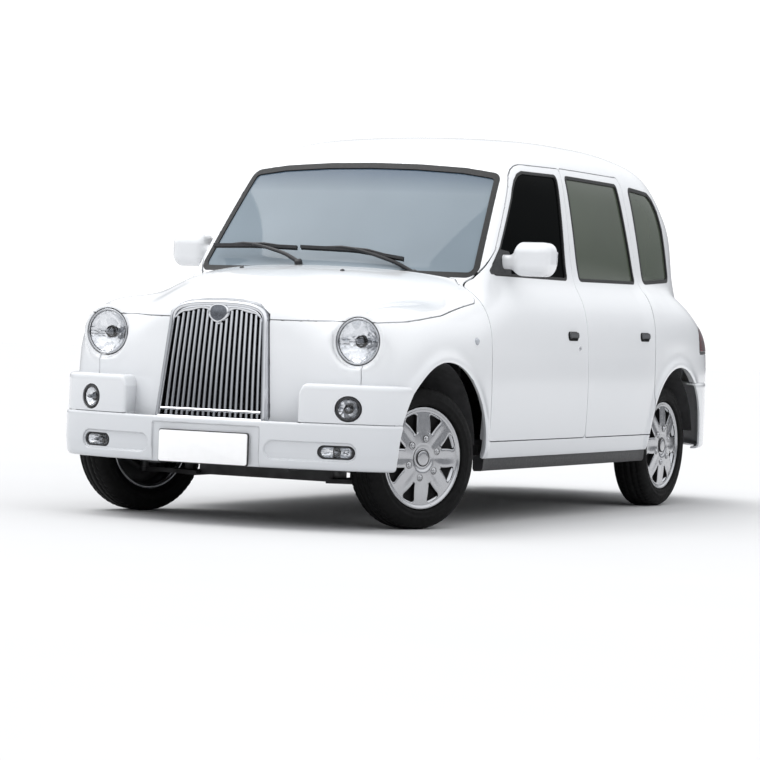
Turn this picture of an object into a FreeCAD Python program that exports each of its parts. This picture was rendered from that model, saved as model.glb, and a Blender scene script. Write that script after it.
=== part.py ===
# Purpose-built taxi cab: hollow body split at its panels, four doors, bonnet,
# boot lid, chassis, axles, knuckles, wheels and a simple cabin.
# Frame: front of the car towards -Y, car's left towards +X, +Z up, millimetres.
# Origin on the ground, in the middle of the car's length and width.
# Station "s" is the distance behind the front axle: y = front_axle_y + s.
import FreeCAD, Part
import math, os
from FreeCAD import Vector, Placement, Rotation

doc = FreeCAD.newDocument("taxi_cab")
sheet = doc.addObject("Spreadsheet::Sheet", "Dimensions")

# name, value, what it is
DIMENSIONS = [
    ("front_axle_y", -1622.0, "front axle station"),
    ("wheelbase", 2886.0, "axle to axle"),
    ("hub_height", 320.0, "axle height above the ground"),
    ("tyre_radius", 320.0, "outer radius of the tyre"),
    ("tyre_width", 178.0, "section width of the tyre"),
    ("rim_radius", 205.0, "bead seat radius"),
    ("wheel_x", 708.0, "wheel centre plane from the middle of the car"),
    ("kingpin_x", 680.0, "steering axis from the middle of the car"),
    ("steer_rest", -22.0, "steering angle as parked, degrees about +Z"),
    ("arch_front", 430.0, "front arch radius"),
    ("arch_rear", 412.0, "rear arch radius"),
    ("side_wall", 55.0, "thickness of doors and lower body sides"),
    ("upper_wall", 40.0, "thickness of pillars and window frames"),
    ("roof_wall", 32.0, "roof panel with lining"),
    ("bonnet_wall", 26.0, "bonnet thickness"),
    ("panel_gap", 7.0, "gap between a moving panel and the body"),
    ("glass_depth", 9.0, "glass outer face below the outer skin"),
    ("glass_thick", 5.0, "glass thickness"),
    ("sill_z", 290.0, "underside of the sill"),
    ("door_low_z", 378.0, "lower edge of the doors"),
    ("roof_line_z", 1685.0, "joint between pillars and roof panel"),
    ("floor_z", 365.0, "underside of the floor pan"),
    ("floor_thick", 24.0, "floor pan thickness"),
    ("boot_floor_z", 520.0, "underside of the raised floor over the rear axle"),
    ("rail_x", 325.0, "chassis rail centre from the middle"),
    ("rail_w", 60.0, "chassis rail width"),
    ("rail_z", 255.0, "chassis rail underside"),
    ("rail_h", 110.0, "chassis rail height"),
    ("body_lift", 10.0, "all body outlines stand this much higher"),
    ("door_front_s", 470.0, "front door leading edge"),
    ("door_mid_s", 1600.0, "seam between front and rear door"),
    ("door_rear_s", 2515.0, "rear door trailing edge"),
    ("headlamp_r", 95.0, "headlamp radius"),
    ("indicator_r", 54.0, "indicator radius"),
    ("steering_wheel_r", 190.0, "steering wheel rim radius"),
    ("driver_x", 380.0, "driver's centre line"),
]
for n, (name, value, note) in enumerate(DIMENSIONS, 1):
    sheet.set("A%d" % n, note)
    sheet.set("B%d" % n, str(value))
    sheet.setAlias("B%d" % n, name)
doc.recompute()


def dim(name):
    return float(getattr(sheet, name))


YF = dim("front_axle_y")
LIFT = dim("body_lift")


def y_of(s):
    return YF + s


# ---------------------------------------------------------------- helpers
parts_out = []          # document objects that are written


def bound(obj, prop, value):
    """A text is an expression on the sheet, a number is a fixed size."""
    if isinstance(value, str):
        obj.setExpression(prop, value.replace("d.", "Dimensions."))
    else:
        try:
            setattr(obj, prop, value)
        except AttributeError:
            obj.setExpression(prop, str(value))


def prim(kind, name, at=(0, 0, 0), axis=(0, 0, 1), angle=0.0, **props):
    """A Part primitive with its sizes and its place tied to the sheet."""
    o = doc.addObject("Part::" + kind, name)
    for k, v in props.items():
        bound(o, k, v)
    o.Placement = Placement(Vector(0, 0, 0), Rotation(Vector(*axis), angle))
    for c, v in zip("xyz", at):
        o.setExpression("Placement.Base." + c,
                        (v if isinstance(v, str) else repr(float(v))).replace("d.", "Dimensions."))
    return o


def box(name, x, y, z, l, w, h, **k):
    return prim("Box", name, (x, y, z), Length=l, Width=w, Height=h, **k)


def rod_x(name, x, y, z, r, length):
    return prim("Cylinder", name, (x, y, z), axis=(0, 1, 0), angle=90, Radius=r, Height=length)


def rod_y(name, x, y, z, r, length):
    return prim("Cylinder", name, (x, y, z), axis=(1, 0, 0), angle=-90, Radius=r, Height=length)


def rod_z(name, x, y, z, r, length):
    return prim("Cylinder", name, (x, y, z), Radius=r, Height=length)


def fuse(name, *objs):
    o = doc.addObject("Part::MultiFuse", name)
    o.Shapes = list(objs)
    return o


def cut(name, a, b):
    o = doc.addObject("Part::Cut", name)
    o.Base = a
    o.Tool = b
    return o


def fillet(name, base, radius, pick):
    doc.recompute()
    o = doc.addObject("Part::Fillet", name)
    o.Base = base
    o.Edges = [(i + 1, radius, radius) for i, e in enumerate(base.Shape.Edges) if pick(e)]
    return o


def out(obj, label):
    obj.Label = label
    parts_out.append(obj)
    return obj


def feature(label, shape, placement=None):
    o = doc.addObject("Part::Feature", label)
    if len(shape.Solids) == 1:
        shape = shape.Solids[0]
    o.Shape = shape
    if placement:
        o.Placement = placement
    return out(o, label)


def P(x, s, z):
    return Vector(x, y_of(s), z)


def prism_side(points, x0, x1):
    """Side-view outline of (s, z) points, extruded from x0 to x1."""
    w = Part.makePolygon([P(x0, s, z + LIFT) for s, z in list(points) + [points[0]]])
    return Part.Face(w).extrude(Vector(x1 - x0, 0, 0))


def prism_front(points, s0, s1):
    """Front-view outline of (x, z) points, extruded from s0 to s1."""
    w = Part.makePolygon([P(x, s0, z + LIFT) for x, z in list(points) + [points[0]]])
    return Part.Face(w).extrude(Vector(0, s1 - s0, 0))


def prism_plan(points, z0, z1):
    """Plan outline of (x, s) points, extruded from z0 to z1."""
    w = Part.makePolygon([P(x, s, z0) for x, s in points] + [P(points[0][0], points[0][1], z0)])
    return Part.Face(w).extrude(Vector(0, 0, z1 - z0))


def offset_poly(points, d):
    """Moves each side of a convex-ish polygon outwards by d (negative: inwards)."""
    n = len(points)
    area = sum(points[i][0] * points[(i + 1) % n][1] - points[(i + 1) % n][0] * points[i][1] for i in range(n))
    sign = 1 if area > 0 else -1
    lines = []
    for i in range(n):
        (x0, y0), (x1, y1) = points[i], points[(i + 1) % n]
        l = math.hypot(x1 - x0, y1 - y0)
        nx, ny = sign * (y1 - y0) / l, -sign * (x1 - x0) / l
        lines.append((x0 + nx * d, y0 + ny * d, x1 - x0, y1 - y0))
    res = []
    for i in range(n):
        ax, ay, adx, ady = lines[i - 1]
        bx, by, bdx, bdy = lines[i]
        den = adx * bdy - ady * bdx
        if abs(den) < 1e-9:
            res.append((bx, by))
            continue
        t = ((bx - ax) * bdy - (by - ay) * bdx) / den
        res.append((ax + adx * t, ay + ady * t))
    return res


def mirrored(shape):
    return shape.mirror(Vector(0, 0, 0), Vector(1, 0, 0))


def both(shape):
    return Part.makeCompound([shape, mirrored(shape)])


def block(x0, x1, s0, s1, z0, z1):
    return Part.makeBox(x1 - x0, s1 - s0, z1 - z0, P(x0, s0, z0))


# ---------------------------------------------------------------- body surfaces
# Plan outlines, one row per height.  Columns:
#   z   front centre s | front x,s | front corner x,s | side start x,s | side middle x,s
#   | side end x,s | rear corner x,s | back x,s | back centre s
LOWER = [
    (290, -560, 550, -482, 760, -412, 836, -150, 865, 1200, 835, 3000, 745, 3440, 490, 3700, 3820),
    (340, -580, 570, -480, 775, -415, 850, -150, 875, 1200, 845, 3020, 760, 3470, 500, 3740, 3865),
    (450, -599, 580, -490, 785, -430, 859, -150, 880, 1200, 853, 3050, 765, 3522, 500, 3793, 3885),
    (650, -585, 600, -472, 792, -407, 862, -150, 883, 1200, 860, 3050, 765, 3549, 500, 3810, 3900),
    (800, -575, 600, -462, 790, -395, 858, -150, 879, 1200, 858, 3050, 765, 3535, 500, 3801, 3892),
    (930, -566, 590, -455, 778, -387, 843, -150, 866, 1200, 852, 3050, 755, 3490, 490, 3753, 3843),
    (1030, -540, 570, -440, 763, -350, 821, -150, 842, 1200, 835, 3000, 740, 3420, 470, 3660, 3780),
    (1100, -520, 540, -420, 723, -330, 771, -150, 790, 1200, 785, 2950, 690, 3330, 430, 3520, 3620),
    (1160, -500, 520, -400, 708, -310, 756, -150, 774, 1200, 755, 2900, 660, 3250, 400, 3420, 3500),
]
CABIN = [
    (1050, 311, 730, 486, 770, 540, 788, 640, 792, 1700, 765, 2990, 712, 3250, 560, 3420, 3520),
    (1150, 407, 718, 567, 756, 589, 779, 690, 777, 1700, 735, 2980, 700, 3162, 550, 3399, 3494),
    (1300, 556, 699, 683, 736, 701, 760, 800, 757, 1700, 720, 2950, 675, 3180, 540, 3358, 3428),
    (1500, 755, 672, 842, 710, 859, 730, 950, 726, 1700, 695, 2900, 640, 3142, 500, 3248, 3284),
    (1630, 887, 652, 953, 688, 979, 701, 1045, 703, 1700, 672, 2800, 610, 3025, 470, 3121, 3159),
    (1724, 1008, 560, 1064, 628, 1115, 656, 1280, 664, 1850, 640, 2600, 560, 2904, 420, 2980, 3019),
    (1788, 1192, 450, 1265, 538, 1328, 586, 1500, 603, 1900, 583, 2400, 470, 2724, 350, 2787, 2836),
    (1828, 1413, 340, 1507, 413, 1578, 448, 1650, 476, 1900, 453, 2250, 350, 2439, 260, 2502, 2564),
    (1847, 1650, 200, 1700, 250, 1750, 270, 1810, 276, 1900, 250, 2050, 220, 2150, 150, 2200, 2220),
]
BUMPER = [
    (257, -630, 560, -535, 755, -475, 815, -370, 845, 600, 800, 900, 790, 950, 780, 960, 970),
    (300, -658, 590, -562, 782, -498, 842, -390, 862, 600, 800, 900, 790, 950, 780, 960, 970),
    (440, -660, 600, -568, 790, -505, 850, -395, 870, 600, 800, 900, 790, 950, 780, 960, 970),
    (600, -656, 600, -566, 790, -503, 850, -393, 870, 600, 800, 900, 790, 950, 780, 960, 970),
    (634, -645, 595, -556, 783, -495, 843, -388, 865, 600, 800, 900, 790, 950, 780, 960, 970),
]
REAR_BUMPER = [
    (285, 2000, 700, 2010, 760, 2100, 800, 2300, 845, 2600, 840, 3150, 745, 3500, 480, 3770, 3885),
    (330, 2000, 700, 2010, 760, 2100, 810, 2300, 862, 2600, 856, 3150, 760, 3515, 490, 3790, 3910),
    (560, 2000, 700, 2010, 760, 2100, 810, 2300, 864, 2600, 860, 3150, 764, 3520, 490, 3792, 3912),
    (630, 2000, 700, 2010, 760, 2100, 805, 2300, 858, 2600, 850, 3140, 752, 3505, 485, 3775, 3895),
]


def outline(row, t=0.0, z=None):
    (rz, f0, fx, fs, cx, cs, sx, ss, mx, ms, ex, es, qx, qs, bx, bs, b0) = row
    z = rz if z is None else z
    f0, fx, fs = f0 + t, fx - 0.5 * t, fs + t
    cx, cs = cx - 0.7 * t, cs + 0.7 * t
    sx, mx, ex = sx - t, mx - t, ex - t
    qx, qs = qx - 0.7 * t, qs - 0.7 * t
    bx, bs, b0 = bx - 0.5 * t, bs - t, b0 - t
    a = lambda p, q, r: Part.Arc(P(*p, z), P(*q, z), P(*r, z)).toShape()
    return Part.Wire([
        a((-fx, fs), (0, f0), (fx, fs)),
        a((fx, fs), (cx, cs), (sx, ss)),
        a((sx, ss), (mx, ms), (ex, es)),
        a((ex, es), (qx, qs), (bx, bs)),
        a((bx, bs), (0, b0), (-bx, bs)),
        a((-bx, bs), (-qx, qs), (-ex, es)),
        a((-ex, es), (-mx, ms), (-sx, ss)),
        a((-sx, ss), (-cx, cs), (-fx, fs))])


def stack(table, t=0.0, top=0.0, low=0.0):
    """Ruled loft through the plan outlines; t moves the walls in, top lowers the crown."""
    wires = []
    n = len(table)
    for i, row in enumerate(table):
        z = row[0]
        if table is CABIN:
            z -= top * min(1.0, max(0.0, (z - 1500) / 220.0))
        if i == 0:
            z += low
        wires.append(outline(row, t, z + LIFT))
    return Part.makeLoft(wires, True, True)


# Cross sections of the body's top, one row per station.  Columns:
#   s, centre z | x1,z1 | x2,z2 | x3,z3 | x4,z4  (centre piece is an arc, the rest straight)
TOP = [
    (-760, 873, 240, 859, 400, 810, 560, 798, 960, 595),
    (-560, 980, 260, 957, 420, 895, 600, 883, 960, 701),
    (-450, 1015, 290, 987, 460, 921, 640, 933, 960, 747),
    (-300, 1063, 340, 1027, 500, 963, 650, 972, 960, 780),
    (-100, 1112, 430, 1062, 560, 1009, 670, 994, 960, 820),
    (110, 1145, 520, 1087, 620, 1040, 710, 1009, 960, 852),
    (300, 1161, 620, 1090, 690, 1061, 760, 1026, 960, 900),
    (450, 1167, 700, 1094, 750, 1074, 800, 1049, 960, 968),
    (600, 1170, 740, 1160, 800, 1159, 850, 1158, 960, 1157),
    (2950, 1170, 740, 1160, 800, 1159, 850, 1158, 960, 1157),
    (3150, 1158, 640, 1106, 720, 1081, 780, 1059, 960, 970),
    (3350, 1138, 560, 1076, 660, 1032, 730, 998, 960, 860),
    (3500, 1112, 500, 1058, 600, 1011, 690, 956, 960, 770),
    (3650, 1063, 450, 1013, 560, 959, 650, 891, 960, 640),
    (3800, 985, 420, 936, 520, 888, 620, 805, 960, 480),
    (4000, 815, 400, 755, 500, 703, 600, 613, 960, 239),
]


def top_stack(drop=0.0, inset=0.0):
    wires = []
    for (s, zc, x1, z1, x2, z2, x3, z3, x4, z4) in TOP:
        q = lambda x, z: P(x, s, z)
        zc, z1, z2, z3, z4 = [z - drop + LIFT for z in (zc, z1, z2, z3, z4)]
        x2, x3 = x2 - inset, x3 - inset
        e = [Part.Arc(q(-x1, z1), q(0, zc), q(x1, z1)).toShape()]
        pts = [(x1, z1), (x2, z2), (x3, z3), (x4, z4), (x4, 150), (-x4, 150), (-x4, z4), (-x3, z3), (-x2, z2), (-x1, z1)]
        e += [Part.makeLine(q(*a), q(*b)) for a, b in zip(pts, pts[1:])]
        wires.append(Part.Wire(e))
    return Part.makeLoft(wires, True, True)


side_t, upper_t, roof_t = dim("side_wall"), dim("upper_wall"), dim("roof_wall")
bonnet_t, gap = dim("bonnet_wall"), dim("panel_gap")
sill_z = dim("sill_z")

lower_out = stack(LOWER).common(top_stack())
cabin_out = stack(CABIN)
lower_in_all = stack(LOWER, side_t, low=-30)
top_in = top_stack(bonnet_t, 0.35 * bonnet_t)
lower_in = lower_in_all.common(top_in)
cabin_in = stack(CABIN, upper_t, roof_t, low=-4)
print("lofts ok", lower_out.isValid(), cabin_out.isValid(), lower_in.isValid(), cabin_in.isValid())

# wheel arches, a cylinder across the car at each axle
hub = dim("hub_height")


def arch(radius, s, x0, x1):
    c = Part.makeCylinder(radius, x1 - x0, P(x0, s, hub), Vector(1, 0, 0))
    return c


wb = dim("wheelbase")
af, ar = dim("arch_front"), dim("arch_rear")
arches = [arch(af, 0, 360, 1000), arch(af, 0, -1000, -360), arch(ar, wb, 560, 1000), arch(ar, wb, -1000, -560)]

lower_shell = lower_out.cut(lower_in).cut(cabin_in)
cabin_shell = cabin_out.cut(cabin_in)
# the cabin's skirt below the belt is dropped where the lower body carries the wall
cabin_shell = cabin_shell.cut(block(-1000, 1000, 300, 3700, 900, 1100))
lower_side = lower_shell.cut(arches)
print("shells ok", lower_side.isValid(), cabin_shell.isValid(), len(lower_side.Solids), len(cabin_shell.Solids))

# ---------------------------------------------------------------- outlines of panels
# Side-view outlines (s, z)
ds, dm, dr = dim("door_front_s"), dim("door_mid_s"), dim("door_rear_s")
dz, roof_z = dim("door_low_z"), dim("roof_line_z")
FRONT_DOOR = [(ds, dz), (ds, 1080), (625, 1135), (985, 1640), (1030, 1668), (dm, 1672), (dm, dz)]
REAR_DOOR = [(dm, dz), (dm, 1672), (2380, 1668), (2415, 1640), (dr, 1100), (dr, dz)]
FRONT_WINDOW = [(675, 1143), (1000, 1600), (1035, 1626), (1540, 1636), (1520, 1143)]
REAR_WINDOW_SIDE = [(1688, 1143), (1655, 1636), (2322, 1636), (2440, 1150)]
QUARTER_WINDOW = [(2590, 1155), (2500, 1640), (2840, 1610), (2930, 1500), (2985, 1180)]
# Front-view outlines (x, z)
WINDSCREEN = [(-712, 1166), (-640, 1622), (-600, 1640), (600, 1640), (640, 1622), (712, 1166)]
BACKLIGHT = [(-540, 1175), (-470, 1590), (-440, 1610), (440, 1610), (470, 1590), (540, 1175)]
GRILLE = [(-279, 464), (-244, 927), (-190, 968), (-90, 985), (0, 988), (90, 985), (190, 968), (244, 927), (279, 464)]
BOOT = [(-570, 650), (-570, 1200), (570, 1200), (570, 650)]
# Bonnet: side view, and its rear edge in plan
BONNET_SIDE = [(-800, 898), (-480, 905), (-300, 915), (60, 950), (420, 1012), (446, 1030), (455, 1088), (540, 1150), (560, 1400), (-800, 1400)]
boot_top_s = 3500

door_prism = lambda pts, d: prism_side(offset_poly(pts, d), 632, 1050)


def rear_edge(x, back):
    return back + 0.30 * (x / 1000.0) ** 2 * 1000.0


plan_x = [-1000, -720, -480, -240, 0, 240, 480, 720, 1000]
bonnet_plan = prism_plan([(-1000, -900)] + [(x, min(rear_edge(x, 372), 520)) for x in plan_x] + [(1000, -900)], 700, 1400)
bonnet_zone = prism_side(BONNET_SIDE, -1000, 1000).common(bonnet_plan)
bonnet_zone_grown = prism_side(offset_poly(BONNET_SIDE, gap), -1000, 1000).common(
    prism_plan([(-1000, -900)] + [(x, min(rear_edge(x, 372 + gap), 520 + gap)) for x in plan_x] + [(1000, -900)], 700, 1400))
grille_tunnel = prism_front(offset_poly(GRILLE, 4), -800, -380)
grille_tunnel_big = prism_front(offset_poly(GRILLE, gap + 3), -800, -380)
ws_prism = prism_front(WINDSCREEN, 250, 1250)
back_prism = prism_front(BACKLIGHT, 2950, 3700)
lamp_tools = [Part.makeCylinder(dim("headlamp_r") + 2, 300, P(sx * 636, -600, 833), Vector(0, 1, 0)) for sx in (1, -1)]
ind_tools = [Part.makeCylinder(dim("indicator_r") + 2, 160, P(sx * 651, -640, 538), Vector(0, 1, 0)) for sx in (1, -1)]


def stadium(x, z, w, h, s0, s1):
    r = h / 2.0
    a = Part.makeCylinder(r, s1 - s0, P(x - w / 2 + r, s0, z), Vector(0, 1, 0))
    b = Part.makeCylinder(r, s1 - s0, P(x + w / 2 - r, s0, z), Vector(0, 1, 0))
    c = Part.makeBox(w - 2 * r, s1 - s0, h, P(x - w / 2 + r, s0, z - r))
    return a.fuse([b, c])


fog_tools = [stadium(sx * 605, 347, 144, 69, -650, -480) for sx in (1, -1)]

# ---------------------------------------------------------------- doors

def door(outline_pts, window):
    zone = door_prism(outline_pts, -gap / 2.0)
    low = lower_side.common(zone)
    up = cabin_shell.common(zone)
    d = low.fuse(up)
    d = d.cut(prism_side(window, 300, 1050))
    solids = sorted(d.Solids, key=lambda q: -q.Volume)
    return solids[0]


# keep the door's lower rear corner clear of the arch
arch_clear = Part.makeCylinder(ar + 18, 800, P(300, wb, hub), Vector(1, 0, 0))
front_door = door(FRONT_DOOR, FRONT_WINDOW)
rear_door = door(REAR_DOOR, REAR_WINDOW_SIDE).cut(arch_clear)
rear_door = sorted(rear_door.Solids, key=lambda q: -q.Volume)[0]
print("doors", front_door.isValid(), rear_door.isValid(), front_door.Volume / 1e6, rear_door.Volume / 1e6)

# glass layer just inside the outer skin of the cabin
g0, gt = dim("glass_depth"), dim("glass_thick")
glass_layer = stack(CABIN, g0, g0).cut(stack(CABIN, g0 + gt, g0 + gt, low=-2))


def pane(zone):
    g = glass_layer.common(zone)
    return sorted(g.Solids, key=lambda q: -q.Volume)[0]


front_glass = pane(prism_side(offset_poly(FRONT_WINDOW, -0.5), 300, 1050))
rear_glass = pane(prism_side(offset_poly(REAR_WINDOW_SIDE, -0.5), 300, 1050))
quarter_glass = pane(prism_side(offset_poly(QUARTER_WINDOW, -0.5), 300, 1050))
windscreen = pane(prism_front(offset_poly(WINDSCREEN, -0.5), 250, 1250))
backlight = pane(prism_front(offset_poly(BACKLIGHT, -0.5), 2950, 3700))
print("glass", front_glass.isValid(), windscreen.isValid())

for side, sh in (("left", lambda q: q), ("right", mirrored)):
    feature("front_door_" + side, sh(front_door))
    feature("rear_door_" + side, sh(rear_door))
    feature("front_door_glass_" + side, sh(front_glass))
    feature("rear_door_glass_" + side, sh(rear_glass))
feature("fixed_glass", Part.makeCompound([windscreen, backlight, quarter_glass, mirrored(quarter_glass)]))

# ---------------------------------------------------------------- body shell, then split
half_gap = gap / 2.0
door_holes = [door_prism(FRONT_DOOR, half_gap), door_prism(REAR_DOOR, half_gap)]
door_holes += [mirrored(q) for q in door_holes]
quarter_hole = prism_side(QUARTER_WINDOW, 300, 1050)
upper = cabin_shell.cut(door_holes + [quarter_hole, mirrored(quarter_hole), ws_prism, back_prism])
roof_zone = block(-1000, 1000, 300, 3700, roof_z, 2000).fuse(block(-1000, 1000, 300, 1250, 1100, 2000))


def biggest(shape, count=1):
    return sorted(shape.Solids, key=lambda q: -q.Volume)[:count]


def show(name, shape):
    print(name, [round(q.Volume / 1e6, 3) for q in sorted(shape.Solids, key=lambda q: -q.Volume)][:6])


roof = upper.common(roof_zone)
show("roof", roof)
feature("roof_panel", biggest(roof)[0])
pillars = upper.cut(roof_zone)

# bonnet: a clamshell that takes the wing tops with it
lamp_clear = [Part.makeCylinder(dim("headlamp_r") + 9, 300, P(sx * 636, -600, 833), Vector(0, 1, 0)) for sx in (1, -1)]
bonnet = lower_side.common(bonnet_zone).cut(grille_tunnel_big).cut(lamp_clear).cut(stack(CABIN, -14))
show("bonnet", bonnet)
feature("bonnet", biggest(bonnet)[0])
low_rest = lower_side.cut(bonnet_zone_grown)

# front bumper: wraps round under the nose, a raised pod each side of the grille
bumper = stack(BUMPER).cut(stack(BUMPER, 30, low=-10)).common(block(-1000, 1000, -900, -10, 200, 650))
bumper = bumper.cut([arch(af, 0, 100, 1000), arch(af, 0, -1000, -100), block(-432, 432, -900, 0, 468, 700)] + ind_tools + fog_tools)
show("bumper", bumper)
feature("front_bumper", biggest(bumper)[0])

# nose and front wings
seam = block(-1000, 1000, -900, ds - half_gap, 100, 1400)
nose_cut = [block(-1000, 1000, -900, 0, 100, 471), block(428, 1000, -900, 0, 100, 648), block(-1000, -428, -900, 0, 100, 648)]
wings = low_rest.common(seam).cut(nose_cut).cut(grille_tunnel).cut(lamp_tools).cut(block(-1000, 1000, 380, 600, 1072, 1400))
show("wings", wings)
feature("front_wings", Part.makeCompound(biggest(wings, 2)))

# cowl panel under the windscreen
cowl = low_rest.common(block(-1000, 1000, 300, 800, 1072, 1400)).cut(stack(CABIN, 0.5)).cut(door_holes + [biggest(roof)[0]])
show("cowl", cowl)
cowl_panel = feature("cowl_panel", biggest(cowl)[0])

# tail: boot lid, lamps, rear bumper, rear panel
tail_z = 655
rest = low_rest.cut(block(-1000, 1000, -900, ds - half_gap, 100, 1072)).cut(block(-1000, 1000, -900, 820, 1072, 1400)).cut(door_holes)
rest = rest.cut([block(-1000, 1000, wb, 4200, 100, tail_z), quarter_hole, mirrored(quarter_hole)])
boot_zone = prism_front(offset_poly(BOOT, -half_gap), boot_top_s, 4200)
boot_hole = prism_front(offset_poly(BOOT, half_gap), boot_top_s - gap, 4200)
boot = rest.common(boot_zone)
show("boot", boot)
feature("boot_lid", biggest(boot)[0])
rb_zone = block(-1000, 1000, wb + 60, 4200, 200, tail_z - 5)
rear_bumper = stack(REAR_BUMPER).cut(stack(REAR_BUMPER, 28, low=-10)).common(rb_zone).cut([arch(ar, wb, 100, 1000), arch(ar, wb, -1000, -100)])
show("rear bumper", rear_bumper)
feature("rear_bumper", biggest(rear_bumper)[0])
lamp_zone = block(655, 860, 3330, 3800, 745, 990)
lamp = rest.common(lamp_zone)
feature("tail_lamps", both(biggest(lamp)[0]))
rest = rest.cut([boot_hole, lamp_zone, mirrored(lamp_zone)])
back_zone = block(-600, 600, 3000, 4200, tail_z, roof_z)
shell_rest = rest.fuse(pillars).cut(boot_hole)
rear_panel = shell_rest.common(back_zone)
show("rear panel", rear_panel)
feature("rear_panel", biggest(rear_panel)[0])

# body sides: quarter panels, pillars, sills, with the inner posts and sill boxes
sides = shell_rest.cut(back_zone)
posts = [prism_side([(402, 295), (460, 295), (460, 965), (402, 965)], 722, 775),
         prism_front([(750, 290), (808, 290), (808, 800), (796, 930), (772, 1015), (714, 1105), (627, 1660), (588, 1660), (670, 1105), (750, 960)], 1565, 1640),
         block(750, 850, 468, 2440, 302, 372)]
half = sides.common(block(0, 1000, -900, 4200, 0, 2000)).fuse(posts)
half = half.cut([Part.makeCylinder(af + 8, 640, P(360, 0, hub), Vector(1, 0, 0)), Part.makeCylinder(ar, 640, P(360, wb, hub), Vector(1, 0, 0))])
show("half side", half)
side_solids = [q for q in biggest(half, 4) if q.Volume > 3e5]
for q in side_solids:
    b = q.BoundBox
    print("   side solid", [round(v) for v in (b.XMin, b.XMax, b.YMin - YF, b.YMax - YF, b.ZMin, b.ZMax)])
feature("body_sides", Part.makeCompound([w for q in side_solids for w in (q, mirrored(q))]))

# ---------------------------------------------------------------- inside and below
steer = dim("steer_rest")
fl, ft, bf = dim("floor_z"), dim("floor_thick"), dim("boot_floor_z")
floor_tools = [block(-145, 145, 300, 1065, 200, 545),
               Part.makeCylinder(af + 8, 400, P(362, 0, hub), Vector(1, 0, 0)),
               Part.makeCylinder(af + 8, 400, P(-762, 0, hub), Vector(1, 0, 0)),
               block(722, 900, 395, 470, 200, 1400), block(-900, -722, 395, 470, 200, 1400)]
plate = block(-748, 748, 392, 2329, fl, fl + ft).fuse(block(-160, 160, 392, 1080, fl, 560)).cut(floor_tools)
bulk = prism_front([(-748, fl - LIFT), (-748, 930), (-690, 990), (-600, 1035), (0, 1060),
                    (600, 1035), (690, 990), (748, 930), (748, fl - LIFT)], 366, 391).cut(floor_tools)
raised = block(-548, 548, 2330, 2354, fl, bf).fuse(block(-548, 548, 2330, 3700, bf, bf + ft))


def wheelhouse(radius, s, x0, x1, low):
    tube = Part.makeCylinder(radius + 7, x1 - x0, P(x0, s, hub), Vector(1, 0, 0)).cut(
        Part.makeCylinder(radius + 1, x1 - x0, P(x0 + 8, s, hub), Vector(1, 0, 0)))
    return tube.common(block(0, 1000, s - 600, s + 600, low, 900))


wh_front = wheelhouse(af, 0, 362, 812, 372)
wh_rear = wheelhouse(ar, wb, 552, 790, 392)
wh_rear = wh_rear.cut(block(540, 1000, 2300, 2445, 300, 400))
by = {o.Label: o.Shape for o in parts_out}
shells = [by["front_wings"], by["front_bumper"], by["body_sides"]]
plate, bulk, raised = [q.cut(shells) for q in (plate, bulk, raised)]
feature("floor_pan", biggest(plate)[0])
feature("bulkhead", biggest(bulk)[0])
feature("boot_floor", biggest(raised)[0])
houses = []
for h in (wh_front, wh_rear):
    one = biggest(h.cut(shells + [plate, bulk, raised]))[0]
    houses += [one, mirrored(one)]
show("wheelhouses", Part.makeCompound(houses))
feature("wheelhouses", Part.makeCompound(houses))

rx, rw, rz, rh = "d.rail_x", "d.rail_w", "d.rail_z", "d.rail_h"
frame = []
for sx, tag in ((1, "l"), (-1, "r")):
    x = "%d * d.rail_x - d.rail_w / 2" % sx
    frame += [box("rail_" + tag, x, "d.front_axle_y - 520", rz, rw, 2980, rh),
              box("kick_" + tag, x, "d.front_axle_y + 2360", rz, rw, 60, "d.boot_floor_z - d.rail_z"),
              box("tail_rail_" + tag, x, "d.front_axle_y + 2360", "d.boot_floor_z - 80", rw, 1330, 80)]
    for i, s0 in enumerate((620, 1500, 2200)):
        ox = "d.rail_x + d.rail_w / 2 - 1" if sx > 0 else "-748"
        frame.append(box("outrigger_%s%d" % (tag, i), ox, "d.front_axle_y + %d" % s0, "d.floor_z - 50",
                         "749 - d.rail_x - d.rail_w / 2", 60, 50))
for i, (s0, z0, hh) in enumerate(((-440, 265, 80), (1250, 256, 108), (2270, 256, 108), (3600, 445, 60))):
    frame.append(box("crossmember_%d" % i, "-d.rail_x", "d.front_axle_y + %d" % s0, z0, "2 * d.rail_x", 60, hh))
for sx, tag in ((1, "l"), (-1, "r")):
    frame.append(box("jack_pad_" + tag, "%d * d.rail_x - 25" % sx, "d.front_axle_y + 870", "d.rail_z - 8", 50, 60, 9))
frame.append(rod_x("steering_rack", "-d.rail_x", "d.front_axle_y + 140", 280, 24, "2 * d.rail_x"))
tow_bolts = []
chassis = fuse("chassis_raw", *frame)
for i, (x, zc) in enumerate(((-60, 460), (60, 460), (-60, 490), (60, 490))):
    tow_bolts.append(rod_y("tow_hole_%d" % i, x, "d.front_axle_y + 3590", zc, 6.5, 90))
tow_bolts.append(rod_y("shaft_hole", 0, "d.front_axle_y + 1100", 305, 44, 1350))
out(cut("chassis_cut", chassis, fuse("chassis_holes", *tow_bolts)), "chassis_frame")


def strut(p, q, w, h):
    """A bar of w by h from point p to point q."""
    p, q = Vector(*p), Vector(*q)
    d = q - p
    b = Part.makeBox(d.Length, w, h, Vector(0, -w / 2, -h / 2))
    ex = Vector(d).normalize()
    up = Vector(0, 0, 1)
    ey = up.cross(ex).normalize()
    ez = ex.cross(ey)
    m = FreeCAD.Matrix(ex.x, ey.x, ez.x, p.x, ex.y, ey.y, ez.y, p.y, ex.z, ey.z, ez.z, p.z, 0, 0, 0, 1)
    b.transformShape(m)
    return b


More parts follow.
